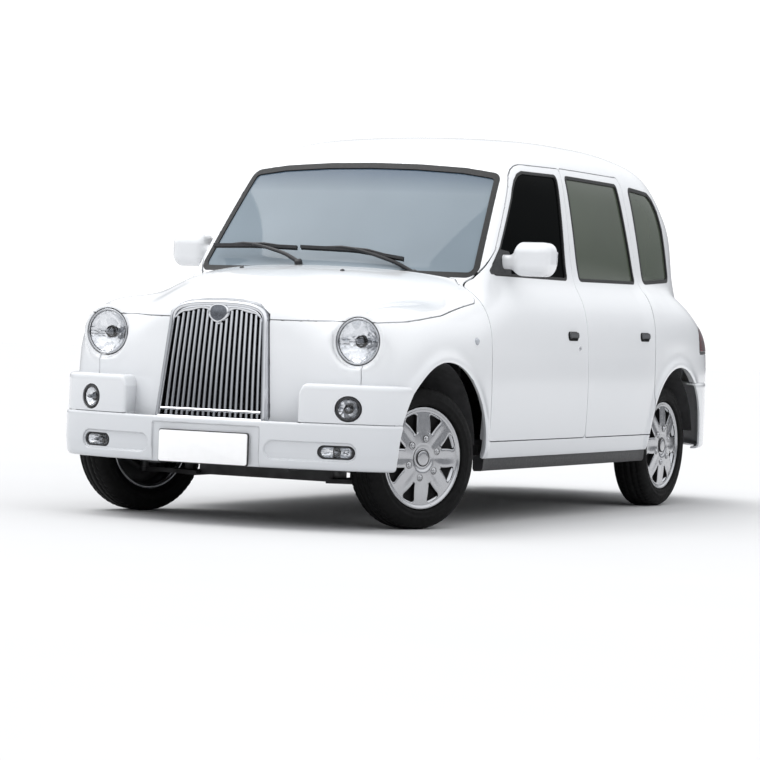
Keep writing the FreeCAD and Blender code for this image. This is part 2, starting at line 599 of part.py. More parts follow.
kx = dim("kingpin_x")
arm_plan = [(335, -120), (335, 120), (500, 35), (662, 15), (662, -15), (500, -35)]
up_plan = [(372, -80), (372, 80), (500, 35), (662, 15), (662, -15), (500, -35)]
side_susp = [prism_plan(arm_plan, hub - 135, hub - 115), prism_plan(up_plan, hub + 115, hub + 135)]
for z0 in (hub - 135, hub + 115):
    side_susp.append(Part.makeCylinder(22, 20, P(kx, 0, z0)))
side_susp.append(Part.makeCylinder(30, 390, P(430, 0, hub - 118)))
side_susp.append(block(370.5, 440, -30, 30, 575, 615))
half_susp = side_susp[0].fuse(side_susp[1:])
susp = half_susp.fuse([mirrored(half_susp), block(-345, 345, -70, 70, 190, 253)])
show("susp", susp)
feature("front_suspension", biggest(susp)[0])
ax = "d.front_axle_y + d.wheelbase"
axle = [rod_x("axle_tube", -700, ax, "d.hub_height", 40, 1400), rod_x("axle_spindles", -772, ax, "d.hub_height", 20, 1544),
        rod_y("differential", 0, "d.front_axle_y + d.wheelbase - 105", "d.hub_height", 92, 200)]
for sx in (1, -1):
    axle += [rod_z("coil_%s" % ("l" if sx > 0 else "r"), 440 * sx, ax, "d.hub_height", 48, "d.boot_floor_z - d.hub_height"),
             box("link_%s" % ("l" if sx > 0 else "r"), 440 * sx - 20, "d.front_axle_y + 2300", 300, 40, 586, 40),
             box("link_bracket_%s" % ("l" if sx > 0 else "r"), "d.rail_x + d.rail_w / 2" if sx > 0 else "-460", "d.front_axle_y + 2300", 298, "460 - d.rail_x - d.rail_w / 2", 55, 60)]
out(fuse("rear_axle_set", *axle), "rear_axle")

engine = fillet("engine_fillet", box("engine_box", -220, "d.front_axle_y - 250", 312, 440, 580, 520), 25,
                lambda e: abs(e.tangentAt(e.FirstParameter).z) > 0.9 or e.CenterOfMass.z > 800)
out(engine, "engine_block")
out(box("radiator_box", -255, "d.front_axle_y - 410", 385, 510, 45, 470), "radiator")
gearbox = fillet("gearbox_fillet", box("gearbox_box", -120, "d.front_axle_y + 332", 262, 240, 620, 250), 30,
                 lambda e: abs(e.tangentAt(e.FirstParameter).y) > 0.9)
shaft = rod_y("prop_shaft", 0, "d.front_axle_y + 950", 305, 36, "d.wheelbase - 1056")
drive = doc.addObject("Part::MultiFuse", "drive_raw")
drive.Shapes = [gearbox, shaft]
out(drive, "drivetrain")
muffler = fillet("muffler_fillet", box("muffler_box", -320, "d.front_axle_y + 1350", 158, 210, 620, 92), 30,
                 lambda e: abs(e.tangentAt(e.FirstParameter).y) > 0.9)
out(fuse("exhaust_set", muffler, rod_y("down_pipe", -200, "d.front_axle_y + 420", 214, 22, 960),
         rod_y("tail_pipe", -240, "d.front_axle_y + 1950", 214, 22, 1900)), "exhaust")
out(fillet("tank_fillet", box("tank_box", -150, "d.front_axle_y + 3130", 262, 430, 430, 160), 30,
           lambda e: abs(e.tangentAt(e.FirstParameter).x) > 0.9), "fuel_tank")

# cabin
bench = [(2452, 535), (2452, 690), (2500, 835), (2960, 800), (3050, 1430), (3140, 1430), (3150, 1000), (3110, 535)]
feature("rear_bench", prism_side(bench, -535, 535))
part_w = prism_front([(-742, 380), (-742, 990), (-700, 1125), (-632, 1600), (632, 1600), (700, 1125), (742, 990), (742, 380)], 1655, 1683)
part_w = part_w.cut(prism_front([(-610, 1120), (-570, 1540), (570, 1540), (610, 1120)], 1600, 1750))
part_w = part_w.common(block(-1000, 1000, 1600, 1750, fl + ft, 1700))
feature("partition", biggest(part_w)[0])
dx = dim("driver_x")
seat = [box("seat_base", "d.driver_x - 210", "d.front_axle_y + 1120", "d.floor_z + d.floor_thick", 420, 430, 190),
        box("seat_cushion", "d.driver_x - 250", "d.front_axle_y + 1080", "d.floor_z + d.floor_thick + 190", 500, 480, 120),
        box("seat_back", "d.driver_x - 245", "d.front_axle_y + 1500", "d.floor_z + d.floor_thick + 309", 490, 110, 560),
        box("head_rest", "d.driver_x - 130", "d.front_axle_y + 1515", "d.floor_z + d.floor_thick + 868", 260, 80, 170)]
out(fuse("driver_seat_set", *seat), "driver_seat")
dash = prism_side([(452, 790), (452, 1050), (600, 1085), (740, 1050), (785, 930), (700, 790)], -655, 655)
col_dir = Vector(0, math.cos(math.radians(25)), math.sin(math.radians(25)))
wheel_c = P(dx, 965, 1035)
column = Part.makeCylinder(32, 215, wheel_c - col_dir * 245, col_dir)
dash = dash.fuse(column)
show("dash", dash)
feature("dashboard", biggest(dash)[0])
rim_t = prim("Torus", "steering_rim", Radius1="d.steering_wheel_r - 15", Radius2=15)
bars = [rod_z("steering_boss", 0, 0, -22, 52, 34)]
for i, a in enumerate((0, 180, 270)):
    b = box("steering_spoke_%d" % i, 0, 0, -8, "d.steering_wheel_r - 18", 26, 12)
    for c in "xyz":
        b.setExpression("Placement.Base." + c, None)
    b.Placement = Placement(Rotation(Vector(0, 0, 1), a).multVec(Vector(0, -13, 0)) + Vector(0, 0, -8), Rotation(Vector(0, 0, 1), a))
    bars.append(b)
sw = fuse("steering_wheel_set", rim_t, *bars)
sw.Placement = Placement(wheel_c, Rotation(Vector(0, 0, 1), col_dir))
out(sw, "steering_wheel")

# wipers: blade and arm, lying on the windscreen
blades = [[(-668, 572, 1247), (-410, 492, 1250), (-154, 456, 1244)], [(-133, 455, 1247), (150, 462, 1240), (400, 470, 1205)]]
pivots = [(-120, 408, 1186), (452, 468, 1152)]
wipe = []
for (a, b, c), pv in zip(blades, pivots):
    pa, pb, pc, pp = [P(*q) for q in (a, b, c, pv)]
    s1 = strut(pa, pb, 12, 16).fuse([strut(pb, pc, 12, 16), strut(pb, pp, 10, 10), Part.makeCylinder(11, 60, pp - Vector(0, 0, 45))])
    wipe.append(s1)
wipers = Part.makeCompound(wipe)

# mirrors on the front doors
shell = Part.makeBox(205, 112, 160, P(811, 720, 1180))
shell = shell.makeFillet(44, shell.Edges)
arm = block(740, 860, 735, 800, 1176, 1206)
mirror = shell.fuse(arm).cut(front_door).cut(front_glass)
show("mirror", mirror)
for side, sh in (("left", lambda q: q), ("right", mirrored)):
    feature("door_mirror_" + side, sh(biggest(mirror)[0]))

# lamps and grille
head = Part.makeCylinder(dim("headlamp_r"), 120, P(636, -470, 833), Vector(0, 1, 0))
feature("headlamps", both(head))
ind = Part.makeCylinder(dim("indicator_r"), 60, P(651, -575, 538), Vector(0, 1, 0))
fog = stadium(605, 347, 140, 65, -572, -520)
feature("front_lamps", Part.makeCompound([ind, mirrored(ind), fog, mirrored(fog)]))
g_out = prism_front(GRILLE, -622, -585)
g_in = prism_front(offset_poly(GRILLE, -15), -622, -585)
slats = [block(x - 5, x + 5, -618, -592, 400, 1020) for x in [27.5 * k for k in range(-9, 10)]]
bars_s = [block(-300, 300, -606, -594, 505, 517), block(-300, 300, -600, -592, 740, 750)]
inner = Part.makeCompound(slats).common(g_in).fuse([b.common(g_in) for b in bars_s])
grille = g_out.cut(g_in).fuse(inner)
grille.rotate(P(0, -600, 474), Vector(1, 0, 0), -6.2)
show("grille", grille)
feature("grille", biggest(grille)[0])
plates = [block(-220, 220, -668, -656, 272, 412), block(-260, 260, 3896, 3912, 470, 585)]

# knuckles: upright on the steering axis, spindle, steering arm
for sx, side in ((1, "left"), (-1, "right")):
    k = [rod_z("upright_" + side, 0, 0, "d.hub_height - 114.5", 19, 229),
         rod_x("spindle_" + side, 0 if sx > 0 else -92, 0, "d.hub_height", 20, 92),
         box("track_arm_" + side, -12, 0, "d.hub_height - 58", 24, 140, 18),
         box("caliper_" + side, -12, -100, "d.hub_height - 30", 24, 90, 60)]
    o = fuse("knuckle_set_" + side, *k)
    o.Placement = Placement(P(sx * kx, 0, 0), Rotation(Vector(0, 0, 1), steer))
    out(o, "knuckle_" + side)

# wheels, local axis +Z outwards, z = 0 at the wheel's middle plane
wx = dim("wheel_x")
off = wx - kx
for name, sx, front in (("front_left", 1, True), ("front_right", -1, True), ("rear_left", 1, False), ("rear_right", -1, False)):
    turn = Rotation(Vector(0, 1, 0), 90 * sx)
    if front:
        swing = Rotation(Vector(0, 0, 1), steer)
        centre = P(sx * kx, 0, hub) + swing.multVec(Vector(sx * off, 0, 0))
        rot = swing.multiply(turn)
    else:
        centre, rot = P(sx * wx, wb, hub), turn
    solid = prim("Cylinder", "tyre_body_" + name, (0, 0, "-d.tyre_width / 2"), Radius="d.tyre_radius", Height="d.tyre_width")
    hole = prim("Cylinder", "tyre_hole_" + name, (0, 0, -150), Radius="d.rim_radius", Height=300)
    seat = prim("Cylinder", "trim_recess_" + name, (0, 0, 64), Radius="d.rim_radius + 31", Height=60)
    ring = cut("tyre_ring_" + name, solid, fuse("tyre_holes_" + name, hole, seat))
    t = fillet("tyre_round_" + name, ring, 40, lambda e: abs(e.BoundBox.XMax) > 300)
    t.Placement = Placement(centre, rot)
    out(t, "tyre_" + name)
    barrel = prim("Cylinder", "barrel_" + name, (0, 0, -84), Radius="d.rim_radius - 0.5", Height=151)
    well = prim("Cylinder", "barrel_bore_" + name, (0, 0, -90), Radius="d.rim_radius - 11", Height=142)
    cover = prim("Cylinder", "cover_" + name, (0, 0, 66), Radius="d.rim_radius + 27", Height=15)
    boss = prim("Cylinder", "hub_boss_" + name, (0, 0, 2), Radius=45, Height=60)
    disc = prim("Cylinder", "brake_disc_" + name, (0, 0, 2), Radius=110, Height=12)
    bore = prim("Cylinder", "hub_bore_" + name, (0, 0, -20), Radius=20.1, Height=88)
    vents = []
    for i in range(8):
        a = math.radians(45 * i)
        vents.append(prim("Cylinder", "vent_%s_%d" % (name, i), (150 * math.cos(a), 150 * math.sin(a), 40), Radius=20, Height=60))
    w = cut("rim_cup_" + name, barrel, well)
    w = fuse("rim_sum_" + name, w, cover, boss, disc)
    w = cut("rim_cut_" + name, w, fuse("rim_holes_" + name, bore, *vents))
    w.Placement = Placement(centre, rot)
    out(w, "wheel_" + name)

doc.recompute()
# number plates and wipers, trimmed where they meet the body
by = {o.Label: o for o in parts_out}
feature("number_plates", Part.makeCompound([plates[0].cut(by["front_bumper"].Shape), plates[1].cut(by["rear_bumper"].Shape)]))
lid = by["bonnet"].Shape
panes = by["fixed_glass"].Shape
keep_off = [cowl_panel.Shape, by["roof_panel"].Shape, lid] + [lid.translated(Vector(*v)) for v in ((0, 6, 0), (0, 4, 4))]
keep_off += [panes] + [panes.translated(Vector(*v)) for v in ((0, -1.5, 1.5), (0, -3, 1))]
feature("wipers", Part.makeCompound([biggest(w.cut(keep_off))[0] for w in wipe]))
doc.recompute()

# ---------------------------------------------------------------- check and write
bad = 0
for o in doc.Objects:
    if any(q in ("Invalid", "Error") for q in o.State):
        print("STATE", o.Name, o.State)
        bad += 1
for o in parts_out:
    if o.Shape.isNull() or not o.Shape.isValid() or not o.Shape.Solids:
        print("BAD SHAPE", o.Label)
        bad += 1
print("nodes", len(parts_out), "bad", bad)
for o in parts_out:
    b = o.Shape.optimalBoundingBox(False) if hasattr(o.Shape, "optimalBoundingBox") else o.Shape.BoundBox
    print("%-24s solids %d  vol %.2f L  x %.0f..%.0f  s %.0f..%.0f  z %.0f..%.0f" % (
        o.Label, len(o.Shape.Solids), o.Shape.Volume / 1e6, b.XMin, b.XMax, b.YMin - YF, b.YMax - YF, b.ZMin, b.ZMax))
if bad:
    raise SystemExit("model has faults")
os.makedirs("parts", exist_ok=True)
for o in parts_out:
    o.Shape.exportStep("parts/%s.step" % o.Label)
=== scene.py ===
import bpy
import bmesh
import math
import numpy as np
from mathutils import Matrix, Vector


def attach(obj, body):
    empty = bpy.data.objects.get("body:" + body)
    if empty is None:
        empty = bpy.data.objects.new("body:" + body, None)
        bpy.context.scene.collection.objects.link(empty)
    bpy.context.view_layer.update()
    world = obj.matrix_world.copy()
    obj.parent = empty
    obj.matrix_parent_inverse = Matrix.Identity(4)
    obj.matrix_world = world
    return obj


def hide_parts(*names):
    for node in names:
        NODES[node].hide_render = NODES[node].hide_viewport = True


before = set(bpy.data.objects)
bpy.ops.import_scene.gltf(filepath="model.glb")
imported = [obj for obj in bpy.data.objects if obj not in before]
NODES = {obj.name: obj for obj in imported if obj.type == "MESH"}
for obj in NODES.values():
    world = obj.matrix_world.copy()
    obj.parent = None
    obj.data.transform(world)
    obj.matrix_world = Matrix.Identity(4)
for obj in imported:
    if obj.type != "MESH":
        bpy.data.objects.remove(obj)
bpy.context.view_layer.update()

# ------------------------------------------------------------------ shape of the body
# x: half width, s: distance behind the front axle, z: height. metres. The row frame is (x, s - 1.622, z + 0.010).
YF, LIFT = -1.622, 0.010


def basis(xs, q):
    """Rows of natural cubic spline weights through xs, at q. Straight on past both ends."""
    xs = np.asarray(xs, float)
    n = len(xs)
    h = np.diff(xs)
    A, B = np.zeros((n, n)), np.zeros((n, n))
    A[0, 0] = A[-1, -1] = 1
    for i in range(1, n - 1):
        A[i, i - 1], A[i, i], A[i, i + 1] = h[i - 1], 2 * (h[i - 1] + h[i]), h[i]
        B[i, i - 1], B[i, i], B[i, i + 1] = 6 / h[i - 1], -6 / h[i - 1] - 6 / h[i], 6 / h[i]
    W = np.linalg.solve(A, B)
    i = np.clip(np.searchsorted(xs, q) - 1, 0, n - 2)
    qc = np.clip(q, xs[0], xs[-1])
    hh = h[i]
    a, b = (xs[i + 1] - qc) / hh, (qc - xs[i]) / hh
    R = ((a ** 3 - a)[:, None] * W[i] + (b ** 3 - b)[:, None] * W[i + 1]) * (hh * hh)[:, None] / 6
    r = np.arange(len(q))
    R[r, i] += a
    R[r, i + 1] += b
    lo, hi = np.minimum(q - xs[0], 0)[:, None], np.maximum(q - xs[-1], 0)[:, None]
    e = np.eye(n)
    R += lo * ((e[1] - e[0]) / h[0] - h[0] * W[1] / 6) + hi * ((e[-1] - e[-2]) / h[-1] + h[-1] * W[-2] / 6)
    return R


def curve(pairs):
    a = np.array(pairs, float)

    def f(q):
        q = np.asarray(q, float)
        return (basis(a[:, 0], q.ravel()) @ a[:, 1]).reshape(q.shape)
    return f


def smax(a, b, k):
    h = np.maximum(k - np.abs(a - b), 0) / k
    return np.maximum(a, b) + h * h * h * k / 6.0


def smin(a, b, k):
    return -smax(-a, -b, k)


def ss(t):
    t = np.clip(t, 0, 1)
    return t * t * (3 - 2 * t)


side_x = curve([(-.9, .850), (-.5, .854), (-.25, .858), (0, .862), (.5, .872), (1.2, .880), (2.0, .878), (2.5, .872), (3.0, .860), (3.6, .850), (4.0, .845)])
side_z = curve([(.20, -.040), (.28, -.020), (.36, -.007), (.48, .001), (.62, .003), (.76, 0), (.86, -.007), (.95, -.021), (1.02, -.042), (1.07, -.068), (1.11, -.094), (1.15, -.112), (1.22, -.130)])
nose_s = curve([(0, -.575), (.15, -.572), (.28, -.552), (.40, -.512), (.53, -.476), (.64, -.455), (.76, -.435), (.95, -.40)])
tail_s = curve([(.2, 3.80), (.35, 3.865), (.5, 3.895), (.65, 3.903), (.8, 3.895), (.9, 3.865), (1.0, 3.78), (1.08, 3.66), (1.14, 3.54), (1.2, 3.45)])
cab_x = curve([(1.0, .797), (1.13, .778), (1.30, .756), (1.5, .726), (1.63, .703), (1.75, .680), (1.9, .65)])
cab_s = curve([(.3, .0), (.8, .004), (1.2, .002), (1.7, 0), (2.3, -.008), (2.7, -.020), (3.0, -.034), (3.4, -.055)])
roof_z = curve([(.6, 1.50), (.75, 1.585), (.88, 1.66), (.95, 1.70), (1.05, 1.745), (1.2, 1.79), (1.43, 1.829), (1.7, 1.8445), (2.0, 1.8462), (2.4, 1.8385), (2.7, 1.812), (2.9, 1.772), (3.05, 1.718), (3.2, 1.635), (3.35, 1.50)])
back_s = curve([(1.0, 3.53), (1.13, 3.50), (1.3, 3.435), (1.45, 3.345), (1.6, 3.235), (1.75, 3.12), (1.9, 3.0)])

TOP_X = [0, .15, .30, .40, .50, .58, .66, .75, .85, .96]
TOP = [  # s | height of the upper surface at each of TOP_X
    (-.75, .880, .876, .850, .815, .80, .805, .815, .79, .72, .60),
    (-.60, .966, .960, .930, .888, .862, .866, .876, .855, .79, .68),
    (-.50, .998, .993, .966, .925, .893, .897, .918, .903, .84, .73),
    (-.40, 1.033, 1.028, 1.003, .965, .930, .932, .953, .939, .88, .76),
    (-.30, 1.063, 1.059, 1.038, 1.005, .963, .956, .973, .960, .90, .78),
    (-.20, 1.090, 1.087, 1.069, 1.040, .996, .976, .985, .973, .915, .80),
    (-.10, 1.112, 1.109, 1.094, 1.071, 1.035, 1.003, .994, .983, .93, .82),
    (.00, 1.130, 1.127, 1.116, 1.097, 1.067, 1.030, 1.004, .991, .94, .83),
    (.10, 1.144, 1.142, 1.132, 1.117, 1.092, 1.058, 1.020, .999, .95, .85),
    (.20, 1.154, 1.152, 1.144, 1.131, 1.111, 1.084, 1.046, 1.012, .96, .87),
    (.30, 1.161, 1.159, 1.152, 1.141, 1.125, 1.104, 1.074, 1.031, .975, .90),
    (.42, 1.166, 1.164, 1.159, 1.151, 1.139, 1.123, 1.102, 1.066, 1.01, .95),
    (.60, 1.172, 1.171, 1.168, 1.163, 1.154, 1.143, 1.128, 1.110, 1.09, 1.07),
    (.80, 1.18, 1.18, 1.18, 1.18, 1.177, 1.175, 1.17, 1.165, 1.16, 1.15),
    (2.8, 1.18, 1.18, 1.18, 1.18, 1.177, 1.175, 1.17, 1.165, 1.16, 1.15),
    (3.0, 1.17, 1.17, 1.168, 1.165, 1.16, 1.155, 1.15, 1.135, 1.11, 1.06),
    (3.15, 1.158, 1.157, 1.153, 1.147, 1.135, 1.120, 1.100, 1.070, 1.03, .97),
    (3.35, 1.138, 1.136, 1.128, 1.116, 1.096, 1.068, 1.032, .988, .93, .86),
    (3.50, 1.112, 1.110, 1.100, 1.085, 1.058, 1.022, .975, .918, .85, .77),
    (3.65, 1.063, 1.060, 1.047, 1.027, .993, .945, .883, .81, .73, .64),
    (3.80, .985, .981, .965, .942, .900, .842, .765, .68, .59, .48),
    (3.95, .86, .855, .835, .805, .755, .69, .60, .51, .41, .30)]
_TS = [r[0] for r in TOP]
_TV = np.array([r[1:] for r in TOP])


def top_z(x, s):
    x, s = np.broadcast_arrays(np.asarray(x, float), np.asarray(s, float))
    sh = x.shape
    bx, bs = basis(TOP_X, x.ravel()), basis(_TS, s.ravel())
    return np.einsum("ns,sx,nx->n", bs, _TV, bx, optimize=True).reshape(sh)


def top_grid(x, s):
    """The same for separate axes: x (n,1,1), s (1,m,1)."""
    return (basis(TOP_X, x.ravel()) @ _TV.T @ basis(_TS, s.ravel()).T)[:, :, None]


WB = 2.886


def lower(x, s, z, tz):
    haunch = .030 * ss((s - 2.36) / .24) + .012 * ss((s - .5) / .5)
    rf, rr = np.hypot(s, z - .31), np.hypot(s - WB, z - .31)
    lip = .010 * np.exp(-((rf - .445) / .030) ** 2) + .010 * np.exp(-((rr - .427) / .030) ** 2)
    bulge = .010 * np.exp(-((s - WB) / .42) ** 2 - ((z - .93) / .12) ** 2)
    fs = (x - (side_x(s) + side_z(z - haunch) + (lip + bulge) * ss((z - .28) / .06))) * .93
    ff = (nose_s(x) + .070 * (z - .80) - s) * .97
    body = smax(fs, ff, .27)
    fr = (s - (tail_s(z) - .05 * x * x)) * .97
    body = smax(body, fr, 1.05)
    ft = (z - tz) * (.94 - .10 * ss((np.abs(s - .2) - .3) / .3) * 0)
    k = .10 + .10 * ss((x - .30) / .28) * (1 - ss((s - 2.8) / .4))
    body = smax(body, ft, k)
    rl = np.hypot(x - .636, z - .823)
    pod = smax(smax(rl - .124, -.452 - s, .022), s + .10, .05)
    body = smin(body, pod, .060)
    body = np.where(s < -.2, smax(body, -smax(rl - .1165, s + .4515, .010), .024), body)
    return smax(body, .285 - z, .03)


def upper(x, s, z):
    gs = (x - (cab_x(z) + cab_s(s))) * .985
    gr = (s - (back_s(z) - .06 * x * x)) * .80
    g = smax(gs, gr, .42 + .22 * ss((1.5 - z) / .35))
    gt = (z - (roof_z(s) - .080 * x * x)) * (1 - .22 * ss((s - 2.6) / .5) - .15 * ss((1.2 - s) / .3))
    g = smax(g, gt, .13 + .15 * ss((s - .9) / .6) - .08 * ss((s - 2.5) / .5))
    gw = (.405 + (z - 1.148) * .995 + np.clip(.312 - .343 * (z - 1.148), .05, .35) * x * x - s) * .71
    g = smax(g, gw, .06)
    return smax(g, .9 - z, .02)


def body_field(x, s, z, tz=None):
    x = np.abs(x)
    if tz is None:
        tz = top_z(x, s)
    return smin(lower(x, s, z, tz), upper(x, s, z), .055)


def gradient(F, P, e=8e-4):
    g = np.empty_like(P)
    for i in range(3):
        d = np.zeros(3)
        d[i] = e
        g[:, i] = (F(*(P + d).T) - F(*(P - d).T)) / (2 * e)
    return g


def unit(v):
    return v / np.maximum(np.linalg.norm(v, axis=-1, keepdims=True), 1e-12)


def project(F, P, steps=3):
    for _ in range(steps):
        g = gradient(F, P)
        P = P - (F(*P.T) / np.maximum((g * g).sum(1), 1e-6))[:, None] * g
    return P


def nets(F, lo, hi, h, grid=None, relax=2):
    """A smooth triangle mesh of F = 0 in a box, every vertex on the surface."""
    ax = [np.arange(lo[i], hi[i] + h, h) for i in range(3)]
    X, S, Z = ax[0][:, None, None], ax[1][None, :, None], ax[2][None, None, :]
    V = (grid or F)(X, S, Z)
    V = np.broadcast_to(V, [len(a) for a in ax])
    inside = V < 0
    n = [len(a) - 1 for a in ax]
    cnt = np.zeros(n, int)
    for d in np.ndindex(2, 2, 2):
        cnt += inside[d[0]:d[0] + n[0], d[1]:d[1] + n[1], d[2]:d[2] + n[2]]
    act = (cnt > 0) & (cnt < 8)
    ci = np.argwhere(act)
    idx = -np.ones(n, int)
    idx[act] = np.arange(len(ci))
    pos, num = np.zeros((len(ci), 3)), np.zeros(len(ci))
    for a in range(3):
        for d in np.ndindex(2, 2):
            o = [0, 0, 0]
            b, c = [i for i in range(3) if i != a]
            o[b], o[c] = d
            i0 = ci + o
            i1 = i0.copy()
            i1[:, a] += 1
            v0, v1 = V[tuple(i0.T)], V[tuple(i1.T)]
            m = (v0 < 0) != (v1 < 0)
            t = np.where(m, v0 / np.where(m, v0 - v1, 1), 0)
            p = i0.astype(float)
            p[:, a] += t
            pos += p * m[:, None]
            num += m
    P = pos / num[:, None] * h + np.array([a[0] for a in ax])
    quads = []
    for a in range(3):
        b, c = (a + 1) % 3, (a + 2) % 3
        sl0, sl1 = [slice(None)] * 3, [slice(None)] * 3
        sl0[a], sl1[a] = slice(0, -1), slice(1, None)
        ch = inside[tuple(sl0)] != inside[tuple(sl1)]
        e = np.argwhere(ch)
        ok = (e[:, b] > 0) & (e[:, c] > 0) & (e[:, b] < n[b]) & (e[:, c] < n[c])
        e = e[ok]
        q = []
        for db, dc in ((-1, -1), (0, -1), (0, 0), (-1, 0)):
            k = e.copy()
            k[:, b] += db
            k[:, c] += dc
            q.append(idx[tuple(k.T)])
        q = np.stack(q, 1)
        flip = ~inside[tuple(e.T)]
        q[flip] = q[flip][:, ::-1]
        quads.append(q)
    Q = np.concatenate(quads)
    P = project(F, P, 3)
    for _ in range(relax):
        acc, w = np.zeros_like(P), np.zeros(len(P))
        for i in range(4):
            np.add.at(acc, Q[:, i], P[Q[:, (i + 1) % 4]])
            np.add.at(w, Q[:, i], 1)
            np.add.at(acc, Q[:, i], P[Q[:, i - 1]])
            np.add.at(w, Q[:, i], 1)
        P = project(F, .4 * P + .6 * acc / np.maximum(w, 1)[:, None], 1)
    P = project(F, P, 1)
    d0 = np.linalg.norm(P[Q[:, 0]] - P[Q[:, 2]], axis=1)
    d1 = np.linalg.norm(P[Q[:, 1]] - P[Q[:, 3]], axis=1)
    s = (d0 <= d1)[:, None]
    T = np.concatenate([np.where(s, Q[:, [0, 1, 2]], Q[:, [0, 1, 3]]), np.where(s, Q[:, [0, 2, 3]], Q[:, [1, 2, 3]])])
    return P, T


def clip(P, T, g, F=None):
    """Keeps the part of the mesh where g(P) < 0. g is a function of the points."""
    v = g(P)
    v = np.where(np.abs(v) < 1e-7, -1e-7, v)
    neg = v < 0
    k = neg[T].sum(1)
    whole = T[k == 3]
    new, base = {}, len(P)
    part = T[(k == 1) | (k == 2)]
    if len(part) == 0:
        return compact(P, whole)
    E = np.concatenate([part[:, [0, 1]], part[:, [1, 2]], part[:, [2, 0]]])
    E = E[neg[E[:, 0]] != neg[E[:, 1]]]
    E = np.unique(np.sort(E, axis=1), axis=0)
    a, b = P[E[:, 0]], P[E[:, 1]]
    va, vb = v[E[:, 0]].copy(), v[E[:, 1]].copy()
    t = va / (va - vb)
    ta, tb = np.zeros(len(t)), np.ones(len(t))
    for _ in range(4):
        m = a + (b - a) * t[:, None]
        vm = g(m)
        left = (vm < 0) == (va < 0)
        ta, va = np.where(left, t, ta), np.where(left, vm, va)
        tb, vb = np.where(left, tb, t), np.where(left, vb, vm)
        den = va - vb
        t = np.where(np.abs(den) > 1e-12, ta + (tb - ta) * va / np.where(np.abs(den) > 1e-12, den, 1), t)
        t = np.clip(t, ta + .02 * (tb - ta), tb - .02 * (tb - ta))
    NP = a + (b - a) * t[:, None]
    if F is not None:
        NP = project(F, NP, 1)
    key = E[:, 0].astype(np.int64) * len(P) + E[:, 1]
    order = np.argsort(key)
    ks = key[order]

    def nid(i, j):
        q = np.minimum(i, j).astype(np.int64) * len(P) + np.maximum(i, j)
        return base + order[np.searchsorted(ks, q)]
    out = [whole]
    for want in (1, 2):
        tr = T[k == want]
        if not len(tr):
            continue
        lone = neg[tr] if want == 1 else ~neg[tr]
        r = np.argmax(lone, 1)
        i0 = tr[np.arange(len(tr)), r]
        i1 = tr[np.arange(len(tr)), (r + 1) % 3]
        i2 = tr[np.arange(len(tr)), (r + 2) % 3]
        p, q = nid(i0, i1), nid(i0, i2)
        if want == 1:
            out.append(np.stack([i0, p, q], 1))
        else:
            out.append(np.stack([p, i1, i2], 1))
            out.append(np.stack([p, i2, q], 1))
    return compact(np.concatenate([P, NP]), np.concatenate(out))


def compact(P, T):
    used = np.unique(T)
    m = -np.ones(len(P), int)
    m[used] = np.arange(len(used))
    return P[used], m[T]


def inset(pts, r):
    """A polygon moved inwards by r (outwards if negative)."""
    pts = np.asarray(pts, float)
    if ((pts[:, 0] * np.roll(pts[:, 1], -1) - np.roll(pts[:, 0], -1) * pts[:, 1]).sum()) < 0:
        pts = pts[::-1]
    n = len(pts)
    out = []
    for i in range(n):
        a, b, c = pts[i - 1], pts[i], pts[(i + 1) % n]
        d0, d1 = unit(b - a), unit(c - b)
        n0, n1 = np.array([-d0[1], d0[0]]), np.array([-d1[1], d1[0]])
        m = unit(n0 + n1)
        out.append(b + m * r / max(m @ n0, .2))
    return np.array(out)


def sd_poly(pts, a, b):
    """Signed distance, below 0 inside."""
    q = np.stack([a, b], -1)
    n = len(pts)
    best = np.full(q.shape[:-1], 1e9)
    ins = np.zeros(q.shape[:-1], bool)
    for i in range(n):
        p, r = pts[i], pts[(i + 1) % n]
        e = r - p
        w = q - p
        t = np.clip((w @ e) / (e @ e), 0, 1)
        best = np.minimum(best, ((w - t[..., None] * e) ** 2).sum(-1))
        c = (p[1] > q[..., 1]) != (r[1] > q[..., 1])
        with np.errstate(divide="ignore", invalid="ignore"):
            xi = p[0] + (q[..., 1] - p[1]) * (r[0] - p[0]) / (r[1] - p[1] if r[1] != p[1] else 1e-9)
        ins ^= c & (q[..., 0] < xi)
    return np.where(ins, -1, 1) * np.sqrt(best)


def rounded(pts, r):
    core = inset(pts, r)
    return lambda a, b: sd_poly(core, a, b) - r

# ------------------------------------------------------------------ outlines, in the same terms
FRONT_DOOR = [(.470, .378), (.470, 1.085), (.548, 1.128), (.700, 1.262), (.950, 1.594), (.978, 1.630), (1.015, 1.658), (1.060, 1.677), (1.120, 1.688), (1.60, 1.694), (1.60, .378)]
REAR_DOOR = [(1.60, .378), (1.60, 1.696), (2.375, 1.692), (2.408, 1.660), (2.515, 1.10), (2.515, .378)]
FRONT_WINDOW = [(.598, 1.146), (.742, 1.276), (.930, 1.515), (.960, 1.563), (1.000, 1.606), (1.050, 1.638), (1.110, 1.655), (1.542, 1.660), (1.522, 1.143)]
REAR_WINDOW = [(1.672, 1.143), (1.640, 1.662), (2.338, 1.656), (2.458, 1.148)]
QUARTER = [(2.578, 1.150), (2.498, 1.652), (2.810, 1.636), (2.880, 1.604), (2.940, 1.545), (2.985, 1.450), (3.045, 1.172)]
SCREEN = [(-.740, 1.128), (.740, 1.128), (.700, 1.395), (.662, 1.634), (.48, 1.660), (.24, 1.674), (0, 1.678), (-.24, 1.674), (-.48, 1.660), (-.662, 1.634), (-.700, 1.395)]
BACK = [(-.54, 1.175), (.54, 1.175), (.455, 1.605), (-.455, 1.605)]
GRILLE = [(-.279, .464), (.279, .464), (.246, .925), (.190, .970), (.09, .987), (0, .990), (-.09, .987), (-.190, .970), (-.246, .925)]
